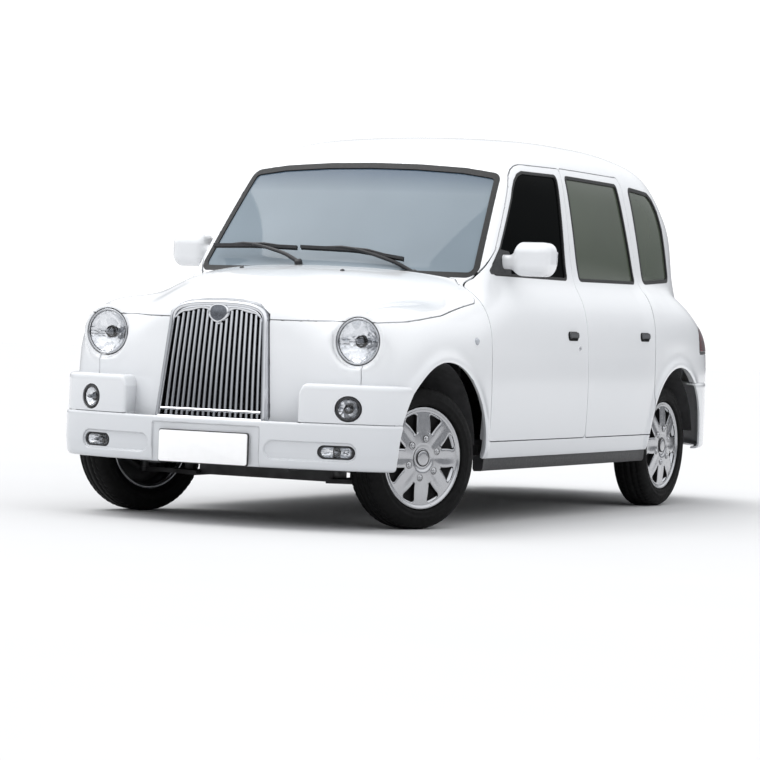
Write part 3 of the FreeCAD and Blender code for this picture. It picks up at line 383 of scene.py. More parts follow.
BOOT = [(-.570, .650), (.570, .650), (.570, 1.25), (-.570, 1.25)]
BONNET_LINE = [(-.80, .898), (-.48, .905), (-.30, .915), (.06, .950), (.42, 1.012), (.446, 1.030), (.455, 1.088), (.54, 1.150), (.60, 1.30)]
HALF_GAP = .0018
AF, AR = .430, .412

sd_fd, sd_rd = rounded(FRONT_DOOR, .022), rounded(REAR_DOOR, .022)
sd_fw, sd_rw, sd_qw = rounded(FRONT_WINDOW, .030), rounded(REAR_WINDOW, .028), rounded(QUARTER, .038)
sd_ws, sd_bk = rounded(SCREEN, .050), rounded(BACK, .070)
sd_gr, sd_bt = rounded(GRILLE, .012), rounded(BOOT, .030)
bon_line = lambda s: np.interp(s, [p[0] for p in BONNET_LINE], [p[1] for p in BONNET_LINE])
bon_back = lambda x: np.minimum(.372 + .30 * x * x, .520)


def side(f):
    """A side outline, as a function of points, away from the middle of the cab."""
    return lambda P: np.maximum(f(P[:, 1], P[:, 2]), .612 - np.abs(P[:, 0]))


def front(f, s_max=1.3):
    return lambda P: np.maximum(f(P[:, 0], P[:, 2]), P[:, 1] - s_max)


def back(f, s_min=2.6):
    return lambda P: np.maximum(f(P[:, 0], P[:, 2]), s_min - P[:, 1])


def arch(r, s0):
    return lambda P: r - np.hypot(P[:, 1] - s0, P[:, 2] - .31)


def keep_out(f, d=0.0):
    return lambda P: d - f(P)


def keep_in(f, d=0.0):
    return lambda P: f(P) + d


def crop(P, T, tests, F=None):
    for g in tests:
        P, T = clip(P, T, g, F)
        if not len(T):
            raise ValueError("a panel came out empty")
    return P, T


def row(P):
    """Shape terms to the row frame."""
    return P + np.array([0, YF, LIFT])


def both_halves(P, T):
    """Joins a half mesh, cut at x = 0, to its mirror image."""
    P = P.copy()
    mid = np.abs(P[:, 0]) < 2e-4
    P[mid, 0] = 0
    n = len(P)
    m = np.where(mid, np.arange(n), np.arange(n) + n)
    Q = np.concatenate([P, P * [-1, 1, 1]])
    return compact(Q, np.concatenate([T, m[T][:, ::-1]]))


def mirror(P, T):
    return P * [-1, 1, 1], T[:, ::-1]


scene = bpy.context.scene


# ------------------------------------------------------------------ materials
def material(name):
    m = bpy.data.materials.new(name)
    m.use_nodes = True
    t = m.node_tree
    for n in list(t.nodes):
        t.nodes.remove(n)
    out = t.nodes.new("ShaderNodeOutputMaterial")
    b = t.nodes.new("ShaderNodeBsdfPrincipled")
    t.links.new(b.outputs[0], out.inputs[0])
    return m, t, b


def coords(t, scale=(1, 1, 1)):
    c = t.nodes.new("ShaderNodeTexCoord")
    m = t.nodes.new("ShaderNodeMapping")
    m.inputs["Scale"].default_value = scale
    t.links.new(c.outputs["Object"], m.inputs[0])
    return m.outputs[0]


def noise(t, vec, scale, detail=4, rough=.55, dist=0.0):
    n = t.nodes.new("ShaderNodeTexNoise")
    n.inputs["Scale"].default_value = scale
    n.inputs["Detail"].default_value = detail
    n.inputs["Roughness"].default_value = rough
    n.inputs["Distortion"].default_value = dist
    t.links.new(vec, n.inputs["Vector"])
    return n.outputs["Fac"]


def ramp(t, fac, stops):
    r = t.nodes.new("ShaderNodeValToRGB")
    e = r.color_ramp.elements
    while len(e) < len(stops):
        e.new(.5)
    for k, (p, c) in enumerate(stops):
        e[k].position = p
        e[k].color = (*c, 1) if len(c) == 3 else c
    t.links.new(fac, r.inputs[0])
    return r.outputs[0]


def grey(v):
    return (v, v, v)


def spread(t, fac, lo, hi, a=.3, b=.7):
    m = t.nodes.new("ShaderNodeMapRange")
    m.inputs["From Min"].default_value = a
    m.inputs["From Max"].default_value = b
    m.inputs["To Min"].default_value = lo
    m.inputs["To Max"].default_value = hi
    t.links.new(fac, m.inputs["Value"])
    return m.outputs[0]


def bump(t, b, height, strength, distance):
    n = t.nodes.new("ShaderNodeBump")
    n.inputs["Strength"].default_value = strength
    n.inputs["Distance"].default_value = distance
    t.links.new(height, n.inputs["Height"])
    t.links.new(n.outputs[0], b.inputs["Normal"])
    return n


def simple(name, col, rough, metal=0.0, var=.06, scale=40.0, rvar=.08, bstr=.15, bdist=.0004, bscale=300.0, coat=0.0, spec=.5, stretch=(1, 1, 1)):
    m, t, b = material(name)
    v = coords(t, stretch)
    f = noise(t, v, scale)
    lo, hi = tuple(max(c * (1 - var), 0) for c in col), tuple(min(c * (1 + var), 1) for c in col)
    t.links.new(ramp(t, f, [(.3, lo), (.7, hi)]), b.inputs["Base Color"])
    t.links.new(spread(t, noise(t, v, scale * 2.3), max(rough - rvar, .02), min(rough + rvar, 1)), b.inputs["Roughness"])
    b.inputs["Metallic"].default_value = metal
    b.inputs["Specular IOR Level"].default_value = spec
    if coat:
        b.inputs["Coat Weight"].default_value = coat
        b.inputs["Coat Roughness"].default_value = .04
    if bstr:
        bump(t, b, noise(t, v, bscale), bstr, bdist)
    return m


PAINT, t, b = material("body_paint")
v = coords(t)
shade_by_height = t.nodes.new("ShaderNodeSeparateXYZ")                 # darker towards the sill: painted shade, the paint multiplied down by height on the lower body
t.links.new(v, shade_by_height.inputs[0])
low = t.nodes.new("ShaderNodeMixRGB")
low.blend_type = "MULTIPLY"
t.links.new(spread(t, shade_by_height.outputs["Z"], 1.0, 0.0, .34, .80), low.inputs[0])
t.links.new(ramp(t, noise(t, v, 1.4, 2), [(.3, (.806, .818, .834)), (.7, (.824, .834, .848))]), low.inputs[1])
# colour of the painted shade at the sill
low.inputs[2].default_value = (.74, .75, .765, 1)
t.links.new(low.outputs[0], b.inputs["Base Color"])
t.links.new(spread(t, noise(t, v, 2.5, 2), .23, .27), b.inputs["Roughness"])
b.inputs["Coat Weight"].default_value = .7
b.inputs["Coat Roughness"].default_value = .10
bump(t, b, noise(t, v, 9, 1), .02, .0006)
INNER_PAINT = simple("inner_paint", (.62, .63, .645), .45, var=.04, scale=12, bscale=200)
TRIM = simple("door_trim", (.075, .078, .085), .62, var=.15, scale=60, bstr=.5, bdist=.0006, bscale=900)
LINING = simple("roof_lining", (.42, .425, .43), .9, var=.08, scale=90, bstr=.5, bdist=.0008, bscale=1400)
BLACK = simple("black_plastic", (.022, .022, .024), .48, var=.2, scale=50, bstr=.35, bdist=.0004, bscale=1100)
RUBBER = simple("seal_rubber", (.006, .006, .0065), .62, var=.2, scale=80, bstr=.25, bdist=.0004, bscale=700)
CHROME = simple("bright_trim", (.72, .73, .75), .09, metal=1, var=.03, scale=15, rvar=.03, bstr=.03, bdist=.0003, bscale=120)
CHROME_DARK = simple("bright_trim_dull", (.50, .51, .53), .20, metal=1, var=.08, scale=25, rvar=.05, bstr=.05, bscale=200)
SILVER = simple("wheel_trim", (.46, .465, .48), .22, metal=1.0, var=.02, scale=9, rvar=.03, bstr=.02, bdist=.0003, bscale=60, coat=.4)
DARK_SLOT = simple("recess_black", (.006, .006, .0065), .8, var=.3, scale=40, bstr=.2, spec=.2)
CHASSIS = simple("chassis_black", (.022, .022, .023), .5, var=.35, scale=9, rvar=.15, bstr=.3, bdist=.0012, bscale=160)
UNDERSEAL = simple("floor_paint", (.045, .045, .047), .72, var=.3, scale=14, bstr=.5, bdist=.0015, bscale=220)
CAST = simple("cast_metal", (.20, .20, .205), .55, metal=.7, var=.2, scale=18, rvar=.12, bstr=.5, bdist=.0012, bscale=260)
STEEL = simple("exhaust_steel", (.30, .28, .26), .42, metal=.9, var=.25, scale=7, rvar=.14, bstr=.2, bscale=300, stretch=(1, .2, 1))
RADIATOR = simple("radiator_core", (.05, .05, .052), .5, metal=.5, var=.3, scale=300, bstr=.6, bdist=.001, bscale=800, stretch=(1, 1, .1))
PLATE = simple("plate_white", (.95, .95, .95), .35, var=.015, scale=30, bstr=.04, bscale=300)
AMBER = simple("lamp_amber", (.75, .28, .03), .2, var=.1, scale=60)
BULB = simple("bulb_glass", (.24, .25, .27), .12, metal=.6, var=.2, scale=90)
WASHER = simple("jet_black", (.05, .05, .055), .4, var=.2, scale=100)

HANDLE = simple("handle_grey", (.055, .057, .062), .34, var=.1, scale=60, bstr=.1, bscale=500, coat=.4)
BADGE = simple("badge_plain", (.16, .17, .19), .25, metal=.8, var=.15, scale=70, bstr=.1, bscale=300)
REPEATER = simple("repeater_lens", (.42, .44, .48), .15, var=.1, scale=120, coat=1.0)

TYRE, t, b = material("tyre_rubber")
v = coords(t)
t.links.new(ramp(t, noise(t, v, 26, 5), [(.3, (.004, .004, .004)), (.72, (.007, .007, .0072))]), b.inputs["Base Color"])
t.links.new(spread(t, noise(t, v, 60), .62, .80), b.inputs["Roughness"])
b.inputs["Specular IOR Level"].default_value = .14
bump(t, b, noise(t, v, 500), .25, .0006)

FABRIC, t, b = material("seat_fabric")
v = coords(t)
t.links.new(ramp(t, noise(t, v, 420, 3), [(.3, (.050, .053, .062)), (.7, (.085, .088, .098))]), b.inputs["Base Color"])
t.links.new(spread(t, noise(t, v, 200), .68, .9), b.inputs["Roughness"])
b.inputs["Sheen Weight"].default_value = .25
bump(t, b, noise(t, v, 900, 3), .5, .0009)


def glazing(name, pane_colour, opaque, rough=.02, trans=1.0, spec=.5, band=None, ior=1.45):
    """Pane: part clear, part body colour, with a gloss. On the windscreen and the front side panes that body colour is
    painted light.
    """
    m, t, b = material(name)
    v = coords(t)
    col = ramp(t, noise(t, v, 1.8, 2), [(.35, tuple(c * .95 for c in pane_colour)), (.65, tuple(min(c * 1.05, 1) for c in pane_colour))])
    if band:
        sep = t.nodes.new("ShaderNodeSeparateXYZ")
        t.links.new(v, sep.inputs[0])
        mx = t.nodes.new("ShaderNodeMixRGB")
        mx.blend_type = "MULTIPLY"
        t.links.new(spread(t, sep.outputs["Z"], 0.0, 1.0, *band), mx.inputs[0])
        t.links.new(col, mx.inputs[1])
        mx.inputs[2].default_value = (.36, .44, .54, 1)
        col = mx.outputs[0]
    t.links.new(col, b.inputs["Base Color"])
    t.links.new(spread(t, noise(t, v, 6), rough, rough + .03), b.inputs["Roughness"])
    b.inputs["IOR"].default_value = ior
    b.inputs["Transmission Weight"].default_value = trans
    b.inputs["Specular IOR Level"].default_value = spec
    b.inputs["Coat Weight"].default_value = opaque
    b.inputs["Coat Roughness"].default_value = .02
    return m


# windscreen: its blue-grey is a painted sky reflection, 12 % clear, with a darker band at its top
GLASS_SCREEN = glazing("window_glass_screen", (.225, .275, .315), 0.0, trans=.12, spec=.14, band=(1.540, 1.640))
# front side panes: near black, painted shade of the cabin behind them, 3 % clear
GLASS_FRONT = glazing("window_glass_front", (.003, .0035, .0035), 0.0, trans=.03, spec=.05, ior=1.12)
GLASS_REAR = glazing("window_glass_rear", (.074, .090, .064), 0.0, trans=.10, spec=.30)
LENS = glazing("lamp_lens", (.97, .975, .985), .0, rough=.01, trans=1.0)
TAIL = glazing("tail_lens", (.13, .006, .006), .6, rough=.05, trans=.25)

REFLECTOR, t, b = material("lamp_reflector")
v = coords(t)
vor = t.nodes.new("ShaderNodeTexVoronoi")
vor.inputs["Scale"].default_value = 42
t.links.new(v, vor.inputs["Vector"])
t.links.new(ramp(t, vor.outputs["Color"], [(.1, (.66, .68, .71)), (.9, (.93, .94, .96))]), b.inputs["Base Color"])
t.links.new(spread(t, noise(t, v, 50), .08, .22), b.inputs["Roughness"])
b.inputs["Metallic"].default_value = 1
bump(t, b, vor.outputs["Distance"], .55, .006)


# ------------------------------------------------------------------ mesh helpers
def mesh_object(name, V, faces, mats, normals=None, index=None, smooth=True):
    me = bpy.data.meshes.new(name)
    V = np.asarray(V, float)
    if isinstance(faces, np.ndarray):
        k = faces.shape[1]
        me.vertices.add(len(V))
        me.vertices.foreach_set("co", V.ravel())
        me.loops.add(faces.size)
        me.loops.foreach_set("vertex_index", faces.ravel().astype(np.int32))
        me.polygons.add(len(faces))
        me.polygons.foreach_set("loop_start", np.arange(0, faces.size, k, dtype=np.int32))
        me.update(calc_edges=True)
    else:
        me.from_pydata([tuple(p) for p in V], [], [tuple(int(i) for i in f) for f in faces])
        me.update()
    for m in (mats if isinstance(mats, (list, tuple)) else [mats]):
        me.materials.append(m)
    me.polygons.foreach_set("use_smooth", [smooth] * len(me.polygons))
    if index is not None:
        me.polygons.foreach_set("material_index", np.asarray(index, np.int32))
    if normals is not None:
        me.normals_split_custom_set_from_vertices(np.asarray(normals, float))
    me.validate()
    ob = bpy.data.objects.new(name, me)
    scene.collection.objects.link(ob)
    return ob


def put(ob, body, slot, *nodes):
    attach(ob, body)
    if nodes:
        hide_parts(*nodes)
    return ob


def boundary(T):
    """Directed edges used once."""
    E = np.concatenate([T[:, [0, 1]], T[:, [1, 2]], T[:, [2, 0]]])
    n = int(T.max()) + 1
    key = E[:, 0].astype(np.int64) * n + E[:, 1]
    rev = E[:, 1].astype(np.int64) * n + E[:, 0]
    return E[~np.isin(key, rev)]


def shell(name, P, T, F, thick, mats, edge=.0016, depth=0.0, butt=None, trim_below=None, field_normals=None, inner_face=True):
    """A skin with a rolled edge, a wall and an inner face, from a piece of a surface."""
    N = unit(gradient(F, P)) if field_normals is None else field_normals
    if depth:
        P = P - N * depth
    E = boundary(T)
    if butt is not None and len(E):
        on = butt(P)
        E = E[~(on[E[:, 0]] & on[E[:, 1]])]
    n = len(P)
    tang = np.zeros_like(P)
    d = unit(P[E[:, 1]] - P[E[:, 0]])
    nm = unit(N[E[:, 0]] + N[E[:, 1]])
    o = np.cross(d, nm)
    np.add.at(tang, E[:, 0], o)
    np.add.at(tang, E[:, 1], o)
    bv = np.unique(E)
    tang[bv] = unit(tang[bv])
    outer = P.copy()
    outer[bv] -= tang[bv] * edge
    mp = -np.ones(n, int)
    mp[bv] = np.arange(len(bv))
    r1 = P[bv] - N[bv] * edge
    r2 = P[bv] - N[bv] * thick
    inner = P - N * thick
    V = np.concatenate([outer, r1, r2, inner])
    NN = np.concatenate([N, tang[bv], tang[bv], -N])
    i1, i2, i3 = n, n + len(bv), n + 2 * len(bv)
    a, c = E[:, 0], E[:, 1]
    q1 = np.stack([c, a, mp[a] + i1, mp[c] + i1], 1)
    q2 = np.stack([mp[c] + i1, mp[a] + i1, mp[a] + i2, mp[c] + i2], 1)
    qs = np.concatenate([q1, q2])
    if not inner_face:
        return mesh_object(name, row(V[:i3]), np.concatenate([T, qs[:, [0, 1, 2]], qs[:, [0, 2, 3]]]), mats[:1], NN[:i3])
    tri = np.concatenate([T, qs[:, [0, 1, 2]], qs[:, [0, 2, 3]], T[:, ::-1] + i3])
    idx = np.zeros(len(tri), int)
    if len(mats) > 1:
        k = len(T)
        if trim_below is None:
            idx[-k:] = 1
        else:
            zc = P[T][:, :, 2].mean(1)
            idx[-k:] = np.where(zc < trim_below, 1, 0)
    return mesh_object(name, row(V), tri, mats, NN, idx)


def rim_only(P, T):
    return boundary(T)


def lathe(name, prof, origin, axis, mats, segs=64, smooth=True, flute=None, idx=None):
    """Turns a profile [(radius, height along axis)] about axis through origin."""
    ax = Vector(axis).normalized()
    ref = Vector((0, 0, 1)) if abs(ax.z) < .9 else Vector((1, 0, 0))
    u = ax.cross(ref).normalized()
    w = ax.cross(u)
    o = Vector(origin)
    V, Fc = [], []
    for j, (r, h) in enumerate(prof):
        for i in range(segs):
            a = 2 * math.pi * i / segs
            rr = r if flute is None else r + flute(a, j)
            V.append(o + ax * h + (u * math.cos(a) + w * math.sin(a)) * rr)
    for j in range(len(prof) - 1):
        for i in range(segs):
            k = (i + 1) % segs
            Fc.append((j * segs + i, j * segs + k, (j + 1) * segs + k, (j + 1) * segs + i))
    ob = mesh_object(name, V, Fc, mats, smooth=smooth)
    bm = bmesh.new()
    bm.from_mesh(ob.data)
    bmesh.ops.remove_doubles(bm, verts=bm.verts, dist=1e-6)
    bmesh.ops.recalc_face_normals(bm, faces=bm.faces)
    bm.to_mesh(ob.data)
    bm.free()
    return ob


def tube(name, pts, r, mats, segs=12, closed=False, caps=True):
    """A round bar through points, radius r or one radius a point."""
    pts = [Vector(p) for p in pts]
    rs = r if isinstance(r, (list, tuple)) else [r] * len(pts)
    n = len(pts)
    V, Fc = [], []
    prev = None
    for i, p in enumerate(pts):
        d = (pts[(i + 1) % n] - pts[i - 1]) if closed else (pts[min(i + 1, n - 1)] - pts[max(i - 1, 0)])
        d.normalize()
        if prev is None:
            ref = Vector((0, 0, 1)) if abs(d.z) < .9 else Vector((1, 0, 0))
            prev = d.cross(ref).normalized()
        u = (prev - d * prev.dot(d)).normalized()
        prev = u
        w = d.cross(u)
        for k in range(segs):
            a = 2 * math.pi * k / segs
            V.append(p + (u * math.cos(a) + w * math.sin(a)) * rs[i])
    for i in range(n if closed else n - 1):
        j = (i + 1) % n
        for k in range(segs):
            m = (k + 1) % segs
            Fc.append((i * segs + k, i * segs + m, j * segs + m, j * segs + k))
    if caps and not closed:
        Fc.append(tuple(range(segs))[::-1])
        Fc.append(tuple((n - 1) * segs + k for k in range(segs)))
    return mesh_object(name, V, Fc, mats)


def join(name, obs):
    """One piece from several, materials kept."""
    bm = bmesh.new()
    mats = []
    for o in obs:
        me = o.data
        remap = []
        for m in me.materials:
            if m not in mats:
                mats.append(m)
            remap.append(mats.index(m))
        start = len(bm.faces)
        bm.from_mesh(me)
        bm.faces.ensure_lookup_table()
        for f in bm.faces[start:]:
            f.material_index = remap[f.material_index] if remap else 0
    me = bpy.data.meshes.new(name)
    bm.to_mesh(me)
    bm.free()
    for m in mats:
        me.materials.append(m)
    ob = bpy.data.objects.new(name, me)
    scene.collection.objects.link(ob)
    for o in obs:
        d = o.data
        bpy.data.objects.remove(o)
        bpy.data.meshes.remove(d)
    return ob


def extrude_xy(name, outline, h0, h1, mats, M, bevel=.002, segs=2, holes=()):
    """A plate from an outline in a local plane (M places it), rounded at its edges."""
    bm = bmesh.new()
    vs = [bm.verts.new((x, y, h0)) for x, y in outline]
    f = bm.faces.new(vs)
    r = bmesh.ops.extrude_face_region(bm, geom=[f])
    up = [g for g in r["geom"] if isinstance(g, bmesh.types.BMVert)]
    bmesh.ops.translate(bm, verts=up, vec=(0, 0, h1 - h0))
    bmesh.ops.recalc_face_normals(bm, faces=bm.faces)
    if bevel:
        es = [e for e in bm.edges if len(e.link_faces) == 2 and e.calc_face_angle() > .6]
        bmesh.ops.bevel(bm, geom=es, offset=bevel, segments=segs, profile=.5, affect="EDGES", clamp_overlap=True)
    bmesh.ops.transform(bm, matrix=M, verts=bm.verts)
    me = bpy.data.meshes.new(name)
    bm.to_mesh(me)
    bm.free()
    me.materials.append(mats)
    for p in me.polygons:
        p.use_smooth = True
    ob = bpy.data.objects.new(name, me)
    scene.collection.objects.link(ob)
    try:
        me.set_sharp_from_angle(angle=.7)
    except Exception:
        pass
    return ob


def rbox(name, lo, hi, mats, bevel=.006, segs=3, M=None):
    x0, y0, z0 = lo
    x1, y1, z1 = hi
    return extrude_xy(name, [(x0, y0), (x1, y0), (x1, y1), (x0, y1)], z0, z1, mats, M or Matrix.Identity(4), bevel, segs)


def recolour(node, mat):
    ob = NODES[node]
    ob.data.materials.clear()
    ob.data.materials.append(mat)

# ------------------------------------------------------------------ body skins
H = .018
BP, BT = nets(body_field, (-.05, -.75, .22), (.96, 4.02, 1.92), H,
              grid=lambda X, S, Z: body_field(X, S, Z, top_grid(np.abs(X), S)), relax=2)
BP, BT = clip(BP, BT, lambda P: -P[:, 0], body_field)
hg = HALF_GAP
ROOF_Z = 1.700


def pair(name, P, T, body, slot, thick, mats, **kw):
    """The same panel on both sides, each riding its own body."""
    P2, T2 = mirror(P, T)
    a = shell(name + "_left_skin", P, T, body_field, thick, mats, **kw)
    b_ = shell(name + "_right_skin", P2, T2, body_field, thick, mats, **kw)
    put(a, body + "_left" if body != "root" else "root", slot)
    put(b_, body + "_right" if body != "root" else "root", slot)
    return a, b_


SIDE = lambda P: .55 - P[:, 0]
# doors
P, T = crop(BP, BT, [SIDE, keep_in(side(sd_fd), hg), keep_out(side(sd_fw))], body_field)
a, c = pair("front_door", P, T, "front_door", "body_paint", .046, [PAINT, TRIM], trim_below=1.11)
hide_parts("front_door_left"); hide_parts("front_door_right")
P, T = crop(BP, BT, [SIDE, keep_in(side(sd_rd), hg), keep_out(side(sd_rw)), arch(AR + .003, WB)], body_field)
a, c = pair("rear_door", P, T, "rear_door", "body_paint", .046, [PAINT, TRIM], trim_below=1.11)
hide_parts("rear_door_left"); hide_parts("rear_door_right")


def door_out(P):
    """Below 0 outside both door openings."""
    return np.maximum(keep_out(side(sd_fd), hg)(P), keep_out(side(sd_rd), hg)(P))


low_zone = lambda P: P[:, 2] - bon_line(P[:, 1]) + hg           # under the bonnet line
high_zone = lambda P: bon_line(P[:, 1]) - P[:, 2] + hg
nose_zone = lambda P: P[:, 1] - .470 + hg
lamp_c = np.array([.636, .823])
LAMP_R = .1075
lamp_hole = lambda P: np.where(P[:, 1] < -.2, LAMP_R - np.hypot(P[:, 0] - lamp_c[0], P[:, 2] - lamp_c[1]), -1.0)
# bonnet: above the line, ahead of its rear edge, with the grille notch
P, T = crop(BP, BT, [lambda P: P[:, 1] - .60, high_zone, lambda P: P[:, 1] - bon_back(P[:, 0]) + hg, keep_out(front(sd_gr, 0), .004), lamp_hole], body_field)
P, T = both_halves(P, T)
put(shell("bonnet_skin", P, T, body_field, .020, [PAINT, INNER_PAINT], edge=.0022), "bonnet", "body_paint", "bonnet")
# wings and nose, parted below the lamps
P0, T0 = crop(BP, BT, [nose_zone, low_zone, lambda P: .30 - P[:, 2], keep_out(front(sd_gr, 0), .003), lamp_hole, arch(AF, 0)], body_field)
for nm, g_, zlow in (("nose_skin", lambda P: P[:, 0] - .6638, .44), ("front_wings_skin", lambda P: .6654 - P[:, 0], .30)):
    P, T = crop(P0, T0, [g_, lambda P, zl=zlow: zl - P[:, 2]], body_field)
    P, T = both_halves(P, T) if nm == "nose_skin" else (np.concatenate([P, P * [-1, 1, 1]]), np.concatenate([T, T[:, ::-1] + len(P)]))
    put(shell(nm, P, T, body_field, .014, [PAINT, UNDERSEAL], edge=.0022), "root", "body_paint", "front_wings")
# cowl: between bonnet and screen, and the corners beside it
in_screen = front(sd_ws, 1.25)
cowl_zone = lambda P: np.minimum(bon_back(P[:, 0]) - P[:, 1] + hg, np.maximum(P[:, 2] - bon_line(P[:, 1]) + hg, .470 + hg - P[:, 1]))
P, T = crop(BP, BT, [lambda P: P[:, 1] - .75, cowl_zone, lambda P: .98 - P[:, 2], lambda P: P[:, 2] - (1.075 + .10), keep_out(side(sd_fd), hg), keep_out(in_screen, -.001)], body_field)
P, T = both_halves(P, T)
put(shell("cowl_skin", P, T, body_field, .012, [PAINT, BLACK], butt=lambda P: P[:, 2] > 1.17), "root", "body_paint", "cowl_panel")

# roof with the screen pillars
P1, T1 = crop(BP, BT, [lambda P: 1.175 - P[:, 2], keep_out(side(sd_fd), hg), keep_out(side(sd_rd), hg), keep_out(in_screen, -.001),
                       lambda P: np.minimum(ROOF_Z - P[:, 2], np.where(P[:, 1] < 1.5, -1, 1) * 1.0)], body_field)
P1, T1 = both_halves(P1, T1)
butt_low = lambda P: (np.abs(P[:, 2] - 1.175) < .001) | ((np.abs(P[:, 2] - ROOF_Z) < .001) & (P[:, 1] > 1.5))
put(shell("roof_skin", P1, T1, body_field, .030, [PAINT, LINING], butt=butt_low), "root", "body_paint", "roof_panel")

# quarter panels and sills
rest_tests = [lambda P: .46 - P[:, 1], lambda P: P[:, 2] - ROOF_Z, keep_out(side(sd_fd), hg), keep_out(side(sd_rd), hg), SIDE]
P, T = crop(BP, BT, rest_tests + [arch(AR, WB), keep_out(side(sd_qw), 0), lambda P: .60 - P[:, 0], lambda P: np.where(P[:, 1] < 1.5, P[:, 2] - .9, -1)], body_field)
lens_c = rounded([(3.245, .795), (3.245, .945), (3.60, .945), (3.60, .795)], .03)
lens_zone = lambda P: np.maximum(lens_c(P[:, 1], P[:, 2]), .655 - P[:, 0])
P, T = crop(P, T, [lambda P: .0015 - lens_zone(P), lambda P: np.maximum(.300 - P[:, 2], np.minimum(.640 - P[:, 2], P[:, 1] - WB))], body_field)
butt_side = lambda P: (np.abs(P[:, 2] - ROOF_Z) < .001) | (np.abs(P[:, 0] - .60) < .001)
a, c = pair("quarter", P, T, "root", "body_paint", .032, [PAINT, LINING], butt=butt_side)
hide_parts("body_sides"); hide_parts("body_sides")
PL, TL = crop(BP, BT, [lens_zone, lambda P: 3.0 - P[:, 1]], body_field)
P, T = crop(PL, TL, [lambda P: lens_zone(P) + .0135], body_field)
PR, TR = crop(PL, TL, [lambda P: -.0145 - lens_zone(P)], body_field)
for sgn in (1, -1):
    q_, u_ = (P, T) if sgn > 0 else mirror(P, T)
    o = shell("tail_lens_%s" % ("left" if sgn > 0 else "right"), q_, u_, body_field, .02, [TAIL], depth=-.001)
    put(o, "root", "tail_lens", "tail_lamps")
    q_, u_ = (PR, TR) if sgn > 0 else mirror(PR, TR)
    put(shell("tail_lamp_rim_%s" % ("left" if sgn > 0 else "right"), q_, u_, body_field, .02, [BLACK], edge=.0012), "root", "black_plastic")

# back panel and boot lid
P0, T0 = crop(BP, BT, [lambda P: 2.80 - P[:, 1], lambda P: P[:, 0] - .60, lambda P: P[:, 2] - ROOF_Z, lambda P: .64 - P[:, 2]], body_field)
boot_zone = lambda P: np.maximum(sd_bt(P[:, 0], P[:, 2]), 3.50 - P[:, 1])
P, T = crop(P0, T0, [keep_out(back(sd_bk), 0), lambda P: .0025 - boot_zone(P)], body_field)
P, T = both_halves(P, T)
put(shell("back_panel_skin", P, T, body_field, .030, [PAINT, LINING], butt=lambda P: (np.abs(P[:, 2] - ROOF_Z) < .001) | (np.abs(np.abs(P[:, 0]) - .60) < .001)), "root", "body_paint", "rear_panel")
P, T = crop(P0, T0, [lambda P: boot_zone(P) + .0025], body_field)
P, T = both_halves(P, T)
put(shell("boot_lid_skin", P, T, body_field, .030, [PAINT, INNER_PAINT], edge=.0022), "boot_lid", "body_paint", "boot_lid")

# ------------------------------------------------------------------ glass and its seals
def pane(name, tests, body, glass, node, mirrored=False, depth=.007, zone=SIDE):
    P, T = crop(BP, BT, tests, body_field)
    if zone is None:
        P, T = both_halves(P, T)
    if mirrored:
        P, T = mirror(P, T)
    return put(shell(name, P, T, body_field, .0045, [glass], edge=.0005, depth=depth), body, "window_glass", node)


def seal(name, f, body, tests, mirrored=False, sym=False, w=.013, proud=-.0012, thick=.016):
    P, T = crop(BP, BT, tests + [lambda P: f(P) - .0015, lambda P: -w - f(P)], body_field)
    if sym:
        P, T = both_halves(P, T)
    if mirrored:
        P, T = mirror(P, T)
    return put(shell(name, P, T, body_field, thick, [RUBBER], edge=.0012, depth=proud), body, "black_plastic")


for tag, mir in (("left", False), ("right", True)):
    f = side(sd_fw)
    pane("front_door_glass_%s_pane" % tag, [SIDE, keep_in(f, .006)], "front_door_" + tag, GLASS_FRONT, "front_door_glass_" + tag, mir)
    seal("front_door_seal_" + tag, f, "front_door_" + tag, [SIDE], mir)
    f = side(sd_rw)
    pane("rear_door_glass_%s_pane" % tag, [SIDE, keep_in(f, .006)], "rear_door_" + tag, GLASS_REAR, "rear_door_glass_" + tag, mir)
    seal("rear_door_seal_" + tag, f, "rear_door_" + tag, [SIDE], mir, w=.015)
    f = side(sd_qw)
    pane("quarter_glass_" + tag, [SIDE, keep_in(f, .006)], "root", GLASS_REAR, "fixed_glass", mir)
    seal("quarter_seal_" + tag, f, "root", [SIDE], mir, w=.018)
f = front(sd_ws, 1.3)
pane("windscreen", [keep_in(f, .004)], "root", GLASS_SCREEN, "fixed_glass", zone=None)
seal("windscreen_band", f, "root", [], sym=True, w=.027, proud=.0005, thick=.010)
f = back(sd_bk)
pane("back_window", [keep_in(f, .004)], "root", GLASS_REAR, "fixed_glass", zone=None)
seal("back_window_seal", f, "root", [], sym=True, w=.022)

# ------------------------------------------------------------------ bumpers
def rbx(x, s, z, c, h, r):
    """Rounded box."""
    qx, qs, qz = np.abs(x - c[0]) - h[0] + r, np.abs(s - c[1]) - h[1] + r, np.abs(z - c[2]) - h[2] + r
    out = np.sqrt(np.maximum(qx, 0) ** 2 + np.maximum(qs, 0) ** 2 + np.maximum(qz, 0) ** 2)
    return out + np.minimum(np.maximum(np.maximum(qx, qs), qz), 0) - r


bump_s = curve([(0, -.662), (.2, -.655), (.4, -.626), (.6, -.572), (.72, -.530), (.80, -.505), (.95, -.45)])


